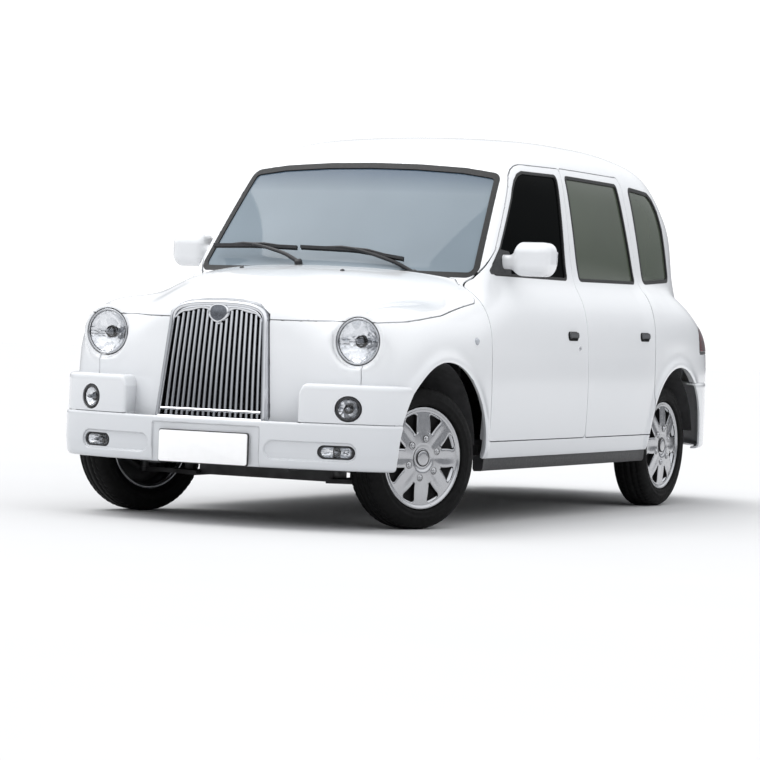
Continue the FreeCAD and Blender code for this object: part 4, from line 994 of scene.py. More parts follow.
def bumper_field(x, s, z):
    x = np.abs(x)
    face = (bump_s(x) - s + .10 * np.maximum(.33 - z, 0)) * .96
    fs = x - (.862 - .10 * np.maximum(.34 - z, 0))
    body = smax(face, fs, .20)
    beam = smax(body, z - .462, .022)
    pod = smax(smax(body + .006, z - .634, .035), .432 - x + .35 * np.maximum(z - .585, 0), .035)
    b_ = np.minimum(beam, pod)
    b_ = smax(b_, .257 - z, .035)
    # strip with the fog lamps, and the plate's tray
    deep = -body - .010
    strip = np.hypot(np.maximum(np.abs(x - .492) - .158, 0), z - .338) - .0405
    b_ = smax(b_, -smax(strip, deep, .008), .008)
    tray = smax(smax(np.abs(z - .345) - .090, np.abs(x) - .268, .010), -body - .009, .007)
    b_ = smax(b_, -tray, .008)
    return b_


XP, XT = nets(bumper_field, (-.03, -.72, .235), (.90, -.20, .66), .0066, relax=1)
XP, XT = clip(XP, XT, lambda P: -P[:, 0], bumper_field)
inner_face = lambda P: np.where((lower(P[:, 0], P[:, 1], P[:, 2], np.full(len(P), 9.0)) < -.03), 1.0, -1.0)
ind_c, fog_c = (.651, .528), (.605, .337)
ind_hole = lambda P: .0565 - np.hypot(P[:, 0] - ind_c[0], P[:, 2] - ind_c[1])
sd_fog = lambda P: np.hypot(np.maximum(np.abs(P[:, 0] - fog_c[0]) - .049, 0), P[:, 2] - fog_c[1]) - .0300
ok = lower(XP[:, 0], XP[:, 1], XP[:, 2], np.full(len(XP), 9.0)) > -.045
XT = XT[ok[XT].all(1)]
P, T = compact(XP, XT)
P, T = crop(P, T, [ind_hole, lambda P: -sd_fog(P), arch(AF, 0), lambda P: P[:, 1] + .20], bumper_field)
Pb, Tb = crop(P, T, [lambda P: P[:, 2] - .4614], bumper_field)
Pb, Tb = both_halves(Pb, Tb)
put(shell("front_bumper_skin", Pb, Tb, bumper_field, .008, [PAINT, BLACK], edge=.0014, inner_face=False), "root", "body_paint", "front_bumper")
Pb, Tb = crop(P, T, [lambda P: .4636 - P[:, 2]], bumper_field)
for tag, sg in (("left", 1), ("right", -1)):
    q_, u_ = (Pb, Tb) if sg > 0 else mirror(Pb, Tb)
    put(shell("lamp_pod_" + tag, q_, u_, bumper_field, .008, [PAINT, BLACK], edge=.0014, inner_face=False), "root", "body_paint", "front_bumper")


def rear_bumper_field(x, s, z):
    x = np.abs(x)
    body = smax(x - .862 + .048 * ss((s - 3.22) / .40), (s - (3.908 - .05 * x * x)) * .97, .90)
    b_ = smax(body, z - .640, .022)
    return smax(b_, .288 - z, .045)


rb_plan = lambda P: smax(np.abs(P[:, 0]) - .862 + .048 * ss((P[:, 1] - 3.22) / .40), (P[:, 1] - (3.908 - .05 * P[:, 0] ** 2)) * .97, .90)
XP, XT = nets(rear_bumper_field, (-.03, 2.95, .26), (.92, 3.95, .66), .014, relax=1)
XP, XT = clip(XP, XT, lambda P: -P[:, 0], rear_bumper_field)
behind = curve([(.20, .343), (.28, .352), (.36, .356), (.44, .350), (.50, .338), (.56, .312), (.61, .276), (.65, .238), (.70, .18)])
P, T = crop(XP, XT, [lambda P: 3.08 - P[:, 1], lambda P: -.045 - rb_plan(P), lambda P: WB + behind(P[:, 2]) + .006 - P[:, 1]], rear_bumper_field)
P, T = both_halves(P, T)
put(shell("rear_bumper_skin", P, T, rear_bumper_field, .010, [PAINT, BLACK], edge=.0014, inner_face=False), "root", "body_paint", "rear_bumper")

# ------------------------------------------------------------------ small geometry helpers
def hit(F, x, z, s0, s1, back_side=False):
    """Where lines along s first meet the surface F = 0 between s0 (outside) and s1 (inside)."""
    x, z = np.atleast_1d(np.asarray(x, float)), np.atleast_1d(np.asarray(z, float))
    a, b_ = np.full(x.shape, float(s0)), np.full(x.shape, float(s1))
    for _ in range(26):
        m = (a + b_) / 2
        out_ = F(x, m, z) > 0
        a, b_ = np.where(out_, m, a), np.where(out_, b_, m)
    return (a + b_) / 2


def hit_x(F, s, z, x0=1.1, x1=.3):
    s, z = np.atleast_1d(np.asarray(s, float)), np.atleast_1d(np.asarray(z, float))
    a, b_ = np.full(s.shape, float(x0)), np.full(s.shape, float(x1))
    for _ in range(26):
        m = (a + b_) / 2
        out_ = F(m, s, z) > 0
        a, b_ = np.where(out_, m, a), np.where(out_, b_, m)
    return (a + b_) / 2


def strips(name, rings, mats, closed=True, smooth=True, idx=None, caps=(False, False), centre=None):
    """Joins equal rings of points, one after another."""
    n = len(rings[0])
    V = np.concatenate([np.asarray(r, float) for r in rings])
    Fc, ix = [], []
    m = n if closed else n - 1
    for j in range(len(rings) - 1):
        for i in range(m):
            k = (i + 1) % n
            Fc.append((j * n + i, j * n + k, (j + 1) * n + k, (j + 1) * n + i))
            ix.append(0 if idx is None else idx[j])
    if caps[0]:
        Fc.append(tuple(range(n))[::-1]); ix.append(0 if idx is None else idx[0])
    if caps[1]:
        Fc.append(tuple((len(rings) - 1) * n + k for k in range(n))); ix.append(0 if idx is None else idx[-1])
    ob = mesh_object(name, V, Fc, mats, smooth=smooth)
    ob.data.polygons.foreach_set("material_index", ix[:len(ob.data.polygons)])
    return ob


def fix_normals(ob, flip=None):
    bm = bmesh.new()
    bm.from_mesh(ob.data)
    bmesh.ops.remove_doubles(bm, verts=bm.verts, dist=1e-6)
    bmesh.ops.recalc_face_normals(bm, faces=bm.faces)
    bm.to_mesh(ob.data)
    bm.free()
    try:
        ob.data.set_sharp_from_angle(angle=.75)
    except Exception:
        pass
    return ob


def stadium(cx, cz, hx, r, n=48):
    """Points round a lying stadium, anticlockwise."""
    out_ = []
    for i in range(n):
        a = 2 * math.pi * i / n
        out_.append((cx + (hx if math.cos(a) >= 0 else -hx) + r * math.cos(a), cz + r * math.sin(a)))
    return np.array(out_)


def sided(make, *a, **k):
    for tag, sg in (("left", 1), ("right", -1)):
        make(tag, sg, *a, **k)


def flipx(pts, sg):
    return np.asarray(pts) * [sg, 1, 1]


# ------------------------------------------------------------------ lamps
def lamp(name, outline, F, s0, s1, sg, bulge, depth, ring_r, rim_mat, bowl_mat, node, fill=.0, bulb=.0, inset_=.0035, sink=.0015, lens_mat=None):
    """A lamp whose rim follows the body: rim, lens and bowl."""
    x, z = outline[:, 0], outline[:, 1]
    s = hit(F, x, z, s0, s1)
    B = np.stack([x, s, z], 1)
    C = B.mean(0)
    n_ = unit(np.linalg.svd(B - C)[2][2][None])[0]
    if n_[1] > 0:
        n_ = -n_
    n = len(B)
    inward = unit(C - B)
    R0 = B + inward * .0022 - n_ * (sink + .002)
    # rim: a rolled section round the opening
    rings = []
    for k in range(9):
        a = math.pi * (1 - k / 8) if False else math.pi * k / 8
        rings.append(R0 + inward * (ring_r * (1 - math.cos(a))) + n_ * (ring_r * math.sin(a)))
    rings = [R0 - n_ * .03] + rings + [rings[-1] - n_ * .012]
    rim = strips(name + "_rim", [row(flipx(r, sg)) for r in rings], [rim_mat])
    fix_normals(rim)
    R1 = R0 + inward * (2 * ring_r - .0008) - n_ * .0015
    C1 = R1.mean(0)
    rho = [1, .97, .92, .84, .72, .58, .42, .26, .12, .02]
    top_ = [C1 + (R1 - C1) * q + n_ * bulge * (1 - q * q) ** .75 for q in rho]
    bot_ = [C1 + (R1 - C1) * q * .985 + n_ * (bulge * (1 - q * q) ** .75 - .003) for q in rho[::-1]]
    lens = strips(name + "_lens", [row(flipx(r, sg)) for r in top_ + bot_], [lens_mat or LENS])
    fix_normals(lens)
    bow = [C1 + (R1 - C1) * (.97 * q + .0) - n_ * (.004 + depth * (1 - q ** 2.4)) for q in rho]
    bow += [r_ - n_ * .002 for r_ in bow[::-1]]
    bowl = fix_normals(strips(name + "_bowl", [row(flipx(r, sg)) for r in bow], [bowl_mat]))
    obs = [rim, lens, bowl]
    if bulb:
        ax = Vector(flipx(n_, sg))
        o_ = Vector(row(flipx(C1 - n_ * (depth * .98), sg)))
        rad = bulb
        obs.append(lathe(name + "_bulb", [(rad * 1.35, 0), (rad * 1.35, .006), (rad * 1.05, .010), (rad, .022), (rad * .9, .034), (rad * .6, .042), (.0005, .045)], o_, ax, [BULB], segs=24))
        obs.append(lathe(name + "_cowl", [(rad * 2.0, 0), (rad * 2.1, .003), (rad * 1.7, .005), (rad * 1.6, .001)], o_, ax, [DARK_SLOT], segs=32))
    for o in obs:
        put(o, "root", "lamp_lens", node)
    return B, C, n_


def circle(cx, cz, r, n=64):
    return np.array([(cx + r * math.cos(2 * math.pi * i / n), cz + r * math.sin(2 * math.pi * i / n)) for i in range(n)])


body3 = lambda x, s, z: body_field(np.abs(x), s, z)
for tag, sg in (("left", 1), ("right", -1)):
    lamp("headlamp_" + tag, circle(lamp_c[0], lamp_c[1], LAMP_R - .0015, 72), body3, -.70, -.30, sg, .018, .030, .0048, CHROME_DARK, REFLECTOR, "headlamps", bulb=.0125)
    lamp("indicator_" + tag, circle(*ind_c, .0545, 48), bumper_field, -.72, -.40, sg, .008, .020, .0050, BLACK, REFLECTOR, "front_lamps", bulb=.009)
    lamp("fog_lamp_" + tag, stadium(fog_c[0], fog_c[1], .049, .0282), bumper_field, -.72, -.40, sg, .006, .024, .0050, BLACK, REFLECTOR, "front_lamps", bulb=.008)

# ------------------------------------------------------------------ grille
TILT = math.radians(6.2)
GM = Matrix(((1, 0, 0, 0), (0, math.sin(TILT), -math.cos(TILT), -.600 - 1.622), (0, math.cos(TILT), math.sin(TILT), .474), (0, 0, 0, 1)))


def gpt(x, y, h):
    return GM @ Vector((x, y, h))


def smooth_outline(pts, n=160, k=2):
    """Even points along a closed outline, with its corners eased."""
    P_ = np.array(pts + [pts[0]], float)
    L = np.r_[0, np.cumsum(np.hypot(*np.diff(P_, axis=0).T))]
    t_ = np.linspace(0, L[-1], n, endpoint=False)
    Q = np.stack([np.interp(t_, L, P_[:, 0]), np.interp(t_, L, P_[:, 1])], 1)
    for _ in range(k):
        Q = .5 * Q + .25 * (np.roll(Q, 1, 0) + np.roll(Q, -1, 0))
    return Q


g_out = smooth_outline([(-.2785, -.020), (.2785, -.020), (.2445, .440), (.236, .470), (.205, .496), (.150, .511), (.08, .517), (0, .519), (-.08, .517), (-.150, .511), (-.205, .496), (-.236, .470), (-.2445, .440)], 200, 3)
gc = np.array([0, .25])


def g_in(d, drop=0.0):
    """The outline moved inwards, evenly all round."""
    Q = inset(g_out, d)
    if len(Q) != len(g_out):
        raise ValueError("inset changed the count")
    return Q


def top_edge(x):
    """Upper ends of the slats: two lobes with a dip at the middle."""
    ax = np.abs(x)
    return .463 - .052 * np.exp(-(ax / .032) ** 2) + .018 * np.exp(-((ax - .085) / .055) ** 2) - .030 * np.clip((ax - .17) / .05, 0, 1) ** 2


def swept(name, loops, mats, closed=True):
    rings = [[gpt(x, y, h) for x, y in Q] for Q, h in loops]
    return fix_normals(strips(name, rings, mats))


O = g_out
if ((O[:, 0] * np.roll(O[:, 1], -1) - np.roll(O[:, 0], -1) * O[:, 1]).sum()) < 0:
    O = O[::-1]
g_out = O
frame_loops = [(g_in(0), -.045), (g_in(0), .010), (g_in(.0022), .0155), (g_in(.006), .0180), (g_in(.0125), .0185), (g_in(.018), .0165), (g_in(.0215), .0120), (g_in(.0225), .006), (g_in(.0225), -.040)]
put(swept("grille_surround", frame_loops, [CHROME]), "root", "bright_trim", "grille")
# crown panel between the slats' lobes and the surround
xs_ = np.linspace(-.222, .222, 61)
top_in = lambda x: np.interp(np.abs(x), [0, .08, .150, .190, .212, .223], [.498, .496, .489, .475, .455, .43])
lo_ = [(x, float(top_edge(x))) for x in xs_]
hi_ = [(x, float(max(top_in(x), top_edge(x) + .001))) for x in xs_]
rings = []
for f_, h_ in ((0, -.012), (0, .004), (.06, .0075), (.30, .0105), (.7, .0115), (1, .0100), (1.0, -.012)):
    rings.append([gpt(a[0], a[1] + (c_[1] - a[1]) * f_, h_) for a, c_ in zip(lo_, hi_)])
crown = fix_normals(strips("grille_crown", rings, [CHROME], closed=False))
put(crown, "root", "bright_trim")
# slats
slats = []
pitch = .0272
for k in range(-8, 10):
    xk = (k - .5) * pitch
    lean = xk / .262 * -.027
    yb, yt = .004, float(top_edge(xk + lean * .9)) - .001
    n_seg = 14
    prof = [(-.0072, -.030), (-.0072, .000), (-.0060, .0050), (-.0030, .0078), (0, .0086), (.0030, .0078), (.0060, .0050), (.0072, .000), (.0072, -.030)]
    rg = []
    for i in range(n_seg + 1):
        y = yb + (yt - yb) * i / n_seg
        cx_ = xk + lean * (y / .46)
        bow_ = .0040 * math.sin(math.pi * i / n_seg)
        rg.append([gpt(cx_ + px_, y, h_ + bow_ - .004) for px_, h_ in prof])
    slats.append(strips("slat", rg, [CHROME], closed=False))
sl = join("grille_slats", slats)
for p_ in sl.data.polygons:
    p_.use_smooth = True
fix_normals(sl)
put(sl, "root", "bright_trim")
# backing, cross bar and the bare badge
put(extrude_xy("grille_backing", [(float(a), float(b_)) for a, b_ in inset(g_out, .012)], -.046, -.034, DARK_SLOT, GM, bevel=0), "root", "black_plastic")
bar = [[gpt(x, .0300 + dy, h_ + .002 * math.cos(x * 5)) for dy, h_ in ((-.007, -.02), (-.007, .008), (-.0045, .0125), (0, .0145), (.0045, .0125), (.007, .008), (.007, -.02))] for x in np.linspace(-.252, .252, 24)]
put(fix_normals(strips("grille_bar", bar, [CHROME], closed=False)), "root", "bright_trim")
shield = [(.052 * math.copysign(abs(math.cos(a)) ** .85, math.cos(a)), .468 + (.036 if math.sin(a) > 0 else .050 * (1 - .25 * abs(math.cos(a)))) * math.copysign(abs(math.sin(a)) ** .9, math.sin(a))) for a in np.linspace(0, 2 * math.pi, 40, endpoint=False)]
sh = np.array(shield)
mid_ = sh.mean(0)
rg = [[gpt(*(mid_ + (q - mid_) * f_), h_ + .001) for q in sh] for f_, h_ in ((1, -.002), (1, .0125), (.94, .0165), (.84, .0175), (.80, .0145), (.5, .0165), (.2, .0175), (.02, .0178))]
badge = fix_normals(strips("grille_badge", rg, [CHROME, BADGE], idx=[0, 0, 0, 0, 1, 1, 1]))
put(badge, "root", "bright_trim")

# ------------------------------------------------------------------ plates
def plate(name, s, z0, z1, hx, nrm, tilt=0.0):
    Mp = Matrix(((1, 0, 0, 0), (0, 0, nrm, s - 1.622), (0, 1, 0, 0), (0, 0, 0, 1)))
    hz = (z1 - z0) / 2
    zc = (z0 + z1) / 2
    r_ = .010
    pts = []
    for cx_, cz_, a0 in ((hx - r_, hz - r_, 0), (-hx + r_, hz - r_, 90), (-hx + r_, -hz + r_, 180), (hx - r_, -hz + r_, 270)):
        for a in range(0, 91, 15):
            pts.append((cx_ + r_ * math.cos(math.radians(a + a0)), zc + cz_ + r_ * math.sin(math.radians(a + a0))))
    o = extrude_xy(name, pts, -.002, .0045, PLATE, Mp, bevel=.0012)
    bk_ = extrude_xy(name + "_holder", [(x_ * 1.018, zc + (y_ - zc) * 1.06) for x_, y_ in pts], -.010, -.0005, BLACK, Mp, bevel=.002)
    put(o, "root", "plate_white", "number_plates")
    put(bk_, "root", "black_plastic")


plate("front_plate", -.6630, .2725, .4105, .222, -1)
plate("rear_plate", 3.9065, .472, .583, .258, 1)

# ------------------------------------------------------------------ wheels
def cover_points(r, th):
    return np.array([r * math.cos(th), r * math.sin(th)])


def wheel(tag, body, C, ax):
    ax = Vector(ax).normalized()
    up_ = Vector((0, 0, 1))
    u_ = up_.cross(ax).normalized()
    M_ = Matrix(((u_.x, up_.x, ax.x, C[0]), (u_.y, up_.y, ax.y, C[1]), (u_.z, up_.z, ax.z, C[2]), (0, 0, 0, 1)))
    pt = lambda r, th, h: M_ @ Vector((r * math.cos(th), r * math.sin(th), h))
    # tyre
    half = [(.2065, -.0590), (.2150, -.0615), (.2335, -.0630), (.2350, -.0780), (.2375, -.0835), (.2410, -.0850), (.2440, -.0866), (.2480, -.0868), (.2505, -.0855), (.2620, -.0885), (.2640, -.0893), (.2700, -.0893), (.2715, -.0884), (.2860, -.0860), (.3000, -.0800), (.3105, -.0715), (.3160, -.0630), (.3185, -.0560), (.3187, -.0530), (.3125, -.0520), (.3125, -.0470), (.3192, -.0460), (.3198, -.0300), (.3200, -.0225), (.3130, -.0215), (.3130, -.0145), (.3200, -.0135)]
    prof = half + [(r, -h) for r, h in half[::-1]] + [(.2045, .055), (.203, 0), (.2045, -.055), half[0]]
    nseg, per = 256, 64

    def groove(a, j):
        r, h = prof[j]
        if r < .3100:
            return 0.0
        k = (a * per / (2 * math.pi) + (.35 if h > 0 else 0) + abs(h) * 9) % 1
        return -.0055 if k < .24 and abs(h) > .046 else (-.0030 if k < .24 and abs(h) > .020 and r > .318 else 0.0)
    ty = lathe("tyre_%s_tread" % tag, prof, C, ax, [TYRE], segs=nseg, flute=groove)
    put(ty, body, "tyre_rubber", "tyre_" + tag)
    # rim barrel, steel disc and hub behind the cover
    rim = lathe("rim_%s" % tag, [(.2040, -.0720), (.2150, -.0735), (.2170, -.0700), (.2120, -.0660), (.2020, -.0640), (.1970, -.0400), (.1900, -.0200), (.1900, .0200), (.1960, .0380), (.2020, .0600), (.2120, .0630), (.2160, .0650), (.2120, .0670), (.2010, .0650), (.1940, .0400), (.1875, .0200), (.1875, -.0200), (.1940, -.0420), (.1990, -.0680), (.2040, -.0720)], C, ax, [CHROME_DARK], segs=96)
    disc = lathe("wheel_disc_%s" % tag, [(.1880, .018), (.1700, .030), (.1200, .034), (.0900, .045), (.0350, .046), (.0350, -.010), (.1080, -.012), (.1080, -.030), (.1250, -.032), (.1250, .010), (.1700, .020), (.1880, .010), (.1880, .018)], C, ax, [CHASSIS], segs=72)
    put(rim, body, "wheel_trim", "wheel_" + tag)
    put(disc, body, "chassis_black")
    # cover with eight openings and wide spokes
    rows_ = [.232, .2312, .2290, .2255, .2210, .2175, .2140, .2085, .2060, .2059, .1990, .1900, .1800, .1690, .1580, .1460, .1340, .1240, .1180, .1179, .1100, .1000, .0850, .0700, .0610, .0580, .0540, .0450, .0380, .0355, .0350, .0335, .0300, .0200, .0100, .0005]
    hts = [(.232, .0640), (.2312, .0720), (.2290, .0755), (.2255, .0770), (.2210, .0765), (.2175, .0735), (.2140, .0705), (.2085, .0700), (.190, .0722), (.160, .0748), (.130, .0765), (.100, .0775), (.070, .0780), (.061, .0778), (.058, .0765), (.054, .0735), (.045, .0730), (.038, .0735), (.0355, .0745), (.0335, .0790), (.030, .0802), (.02, .0806), (0, .0808)]
    hr, hh = [q[0] for q in hts][::-1], [q[1] for q in hts][::-1]
    r_in, r_out = .1179, .2060
    sec = 2 * math.pi / 8
    cols = [-1, -.86, -.72, -.58, -.46, -.36] + ["a", "A"] + [-.66, -.33, 0, .33, .66] + ["B", "b"] + [.36, .46, .58, .72, .86]

    def half_w(r):
        """Half width of an opening, as part of a half sector."""
        t_ = (r - r_in) / (r_out - r_in)
        w_ = .034 + (.238 - .034) * max(t_, 0) ** .90
        if t_ > .80:
            w_ *= math.sqrt(max(1 - ((t_ - .80) / .22) ** 2, .05))
        return w_ / (sec / 2) * .94
    V, idx_, n_c = [], [], len(cols) * 8
    for ri, r in enumerate(rows_):
        inside = r_in < r < r_out or abs(r - .1180) < 1e-9 or abs(r - .2059) < 1e-9
        t_ = min(max((r - r_in) / (r_out - r_in), 0), 1)
        w_ = half_w(min(max(r, r_in + .0004), r_out - .0003))
        h0 = float(np.interp(r, hr, hh))
        for k8 in range(8):
            mid = (k8 + .5) * sec
            for ci, c_ in enumerate(cols):
                deep = False
                if c_ in ("a", "A", "b", "B"):
                    f_ = -w_ if c_ in ("a", "A") else w_
                    deep = c_ in ("A", "B")
                elif abs(c_) < .34 or ci in (8, 9, 10, 11, 12):
                    f_ = c_ * w_
                    deep = True
                else:
                    e = (abs(c_) - .30) / .70
                    f_ = math.copysign(w_ + (1 - w_) * max(e, .04), c_)
                spoke = .0022 * math.exp(-((1 - abs(f_)) / .35) ** 2) * math.sin(math.pi * min(max((r - .06) / .15, 0), 1))
                h_ = h0 - spoke * 1.2
                if not (deep and inside) and inside:
                    h_ += -.0018 * math.exp(-((abs(f_) - w_) / .05) ** 2)
                if deep and inside:
                    h_ = h0 - .026
                V.append(pt(r, mid + f_ * sec / 2, h_))
    Fc, ix = [], []
    for j in range(len(rows_) - 1):
        rm = (rows_[j] + rows_[j + 1]) / 2
        for i in range(n_c):
            k = (i + 1) % n_c
            Fc.append((j * n_c + i, j * n_c + k, (j + 1) * n_c + k, (j + 1) * n_c + i))
            ci = i % len(cols)
            dark = 6 <= ci <= 13 and r_in < rm < r_out
            ix.append(1 if dark else 0)
    back_r = [(.232, .058), (.20, .052), (.10, .050), (.0005, .050)]
    base = len(V)
    for r, h_ in back_r:
        for i in range(n_c):
            V.append(pt(r, 2 * math.pi * i / n_c, h_))
    for j in range(len(back_r) - 1):
        for i in range(n_c):
            k = (i + 1) % n_c
            Fc.append((base + j * n_c + k, base + j * n_c + i, base + (j + 1) * n_c + i, base + (j + 1) * n_c + k))
            ix.append(1)
    cov = mesh_object("wheel_cover_" + tag, V, Fc, [SILVER, DARK_SLOT])
    cov.data.polygons.foreach_set("material_index", ix)
    try:
        cov.data.set_sharp_from_angle(angle=.9)
    except Exception:
        pass
    nuts = []
    for k6 in range(6):
        a = math.radians(60 * k6 + 20)
        o_ = M_ @ Vector((.088 * math.cos(a), .088 * math.sin(a), .0745))
        nuts.append(lathe("nut", [(.0150, 0), (.0150, .0028), (.0125, .0040), (.0105, .0040), (.0100, .0085), (.0082, .0105), (.0005, .0112)], o_, ax, [SILVER], segs=18))
        nuts.append(lathe("nut_ring", [(.0168, .0008), (.0168, .0036), (.0152, .0036), (.0152, .0008)], o_, ax, [CHASSIS], segs=18))
    cap = lathe("cap_ring", [(.0375, .0735), (.0375, .0790), (.0350, .0802), (.0325, .0790), (.0325, .0735)], C, ax, [CHASSIS], segs=48)
    put(join("wheel_nuts_" + tag, nuts + [cap]), body, "wheel_trim")
    put(cov, body, "wheel_trim")


c22, s22 = math.cos(math.radians(22)), math.sin(math.radians(22))
wheel("front_left", "wheel_front_left", Vector((.680 + .028 * c22, -1.622 - .028 * s22, .320)), (c22, -s22, 0))
wheel("front_right", "wheel_front_right", Vector((-.680 - .028 * c22, -1.622 + .028 * s22, .320)), (-c22, s22, 0))
wheel("rear_left", "wheel_rear_left", Vector((.708, 2.886 - 1.622, .320)), (1, 0, 0))
wheel("rear_right", "wheel_rear_right", Vector((-.708, 2.886 - 1.622, .320)), (-1, 0, 0))


# ------------------------------------------------------------------ mirrors
def mirror_field(x, s, z):
    """Mirror head and its arm, in the shape terms."""
    zt = z + LIFT
    head = rbx(x, s, zt, (.914, .815, 1.238), (.100, .076, .080), .052)
    head = smax(head, .812 - x + .45 * np.maximum(zt - 1.25, 0), .03)
    head = smax(head, (x - 1.014) + .35 * np.maximum(1.215 - zt, 0), .03)
    arm = rbx(x, s, zt, (.800, .782, 1.222), (.062, .028, .034), .022)
    out_ = np.minimum(head, arm)
    k = .02
    hd = np.clip(.5 + .5 * (arm - head) / k, 0, 1)
    out_ = arm * (1 - hd) + head * hd - k * hd * (1 - hd)
    return smax(out_, s - .8860, .006)


MP, MT = nets(mirror_field, (.735, .710, 1.125), (1.035, .910, 1.335), .0070, relax=2)
MN = unit(gradient(mirror_field, MP))
for tag, sg in (("left", 1), ("right", -1)):
    Pm, Tm, Nm = (MP, MT, MN) if sg > 0 else (MP * [-1, 1, 1], MT[:, ::-1], MN * [-1, 1, 1])
    o = mesh_object("mirror_shell_" + tag, row(Pm), Tm, [PAINT], Nm)
    put(o, "front_door_" + tag, "body_paint", "door_mirror_" + tag)
    gl = [[(.835, 1.182), (.965, 1.180), (.996, 1.212), (1.000, 1.272), (.975, 1.298), (.862, 1.298), (.835, 1.262)]]
    Mg = Matrix(((sg, 0, 0, 0), (0, 0, sg, .8860 - 1.622), (0, 1, 0, 0), (0, 0, 0, 1)))
    pts = [(a, b_) for a, b_ in gl[0]]
    g1 = extrude_xy("mirror_glass_" + tag, [(a * 1.0, b_) for a, b_ in pts], -.001 * sg, .0025 * sg, CHROME, Mg, bevel=.0008)
    put(g1, "front_door_" + tag, "bright_trim")

# black foot of each mirror, in the window's front corner
for tag, sg in (("left", 1), ("right", -1)):
    P, T = crop(BP, BT, [SIDE, keep_in(side(rounded([(.604, 1.150), (.740, 1.270), (.850, 1.262), (.850, 1.150)], .012)))], body_field)
    if sg < 0:
        P, T = mirror(P, T)
    put(shell("mirror_foot_" + tag, P, T, body_field, .014, [BLACK], edge=.002, depth=-.003), "front_door_" + tag, "black_plastic")


# ------------------------------------------------------------------ handles, locks, repeaters, jets
def on_skin(name, pts, r, body, mats, proud, thick, sg, edge=.002, slot=None, h=.006):
    """A patch that follows the cab's side, inside an outline in (s, z)."""
    f = rounded(pts, r)
    a_ = np.array(pts)
    lo, hi = a_.min(0) - .02, a_.max(0) + .02
    S, Z = np.meshgrid(np.arange(lo[0], hi[0] + h, h), np.arange(lo[1], hi[1] + h, h), indexing="ij")
    X = hit_x(body_field, S.ravel(), Z.ravel())
    Pq = np.stack([X, S.ravel(), Z.ravel()], 1)
    nz = S.shape[1]
    I = np.arange(S.size).reshape(S.shape)
    q = np.stack([I[:-1, :-1].ravel(), I[1:, :-1].ravel(), I[1:, 1:].ravel(), I[:-1, 1:].ravel()], 1)
    Tq = np.concatenate([q[:, [0, 1, 2]], q[:, [0, 2, 3]]])
    e1 = Pq[Tq[0, 1]] - Pq[Tq[0, 0]]
    e2 = Pq[Tq[0, 2]] - Pq[Tq[0, 0]]
    if np.cross(e1, e2)[0] < 0:
        Tq = Tq[:, ::-1]
    Pq, Tq = crop(Pq, Tq, [lambda P: f(P[:, 1], P[:, 2])], None)
    if sg < 0:
        Pq, Tq = mirror(Pq, Tq)
    o = shell(name, Pq, Tq, body_field, thick, mats, edge=edge, depth=-proud)
    return put(o, body, slot)


def box_pts(s, z, a, b_):
    return [(s - a, z - b_), (s + a, z - b_), (s + a, z + b_), (s - a, z + b_)]


for tag, sg in (("left", 1), ("right", -1)):
    for nm, s_, z_, body in (("front", 1.411, .873, "front_door_"), ("rear", 2.369, .878, "rear_door_")):
        on_skin("%s_handle_seat_%s" % (nm, tag), box_pts(s_, z_, .062, .0225), .018, body + tag, [DARK_SLOT], .0012, .004, sg, .001, "black_plastic")
        on_skin("%s_handle_%s" % (nm, tag), box_pts(s_, z_ + .004, .054, .0145), .0125, body + tag, [HANDLE], .0105, .0075, sg, .003, "black_plastic", h=.004)
    x_ = float(hit_x(body_field, 1.489, .815)[0])
    put(lathe("door_lock_" + tag, [(.0115, -.004), (.0115, .002), (.0095, .0032), (.0035, .0032), (.0030, .0015), (.0004, .0015)], (sg * x_, 1.489 - 1.622, .825), (sg, 0, .05), [CHROME_DARK], segs=28), "front_door_" + tag, "bright_trim")
    x_ = float(hit_x(body_field, .309, .838)[0])
    put(lathe("side_repeater_" + tag, [(.017, -.003), (.017, .004), (.0145, .008), (.008, .011), (.0004, .012)], (sg * x_, .309 - 1.622, .848), (sg, 0, .02), [REPEATER], segs=32), "root", "lamp_lens")
    zj = float(top_z(np.array([.262]), np.array([.114]))[0])
    put(lathe("washer_jet_" + tag, [(.011, -.002), (.0105, .004), (.007, .008), (.0004, .009)], (sg * .262, .114 - 1.622, zj + LIFT), (0, -.12, 1), [WASHER], segs=20), "bonnet", "black_plastic")

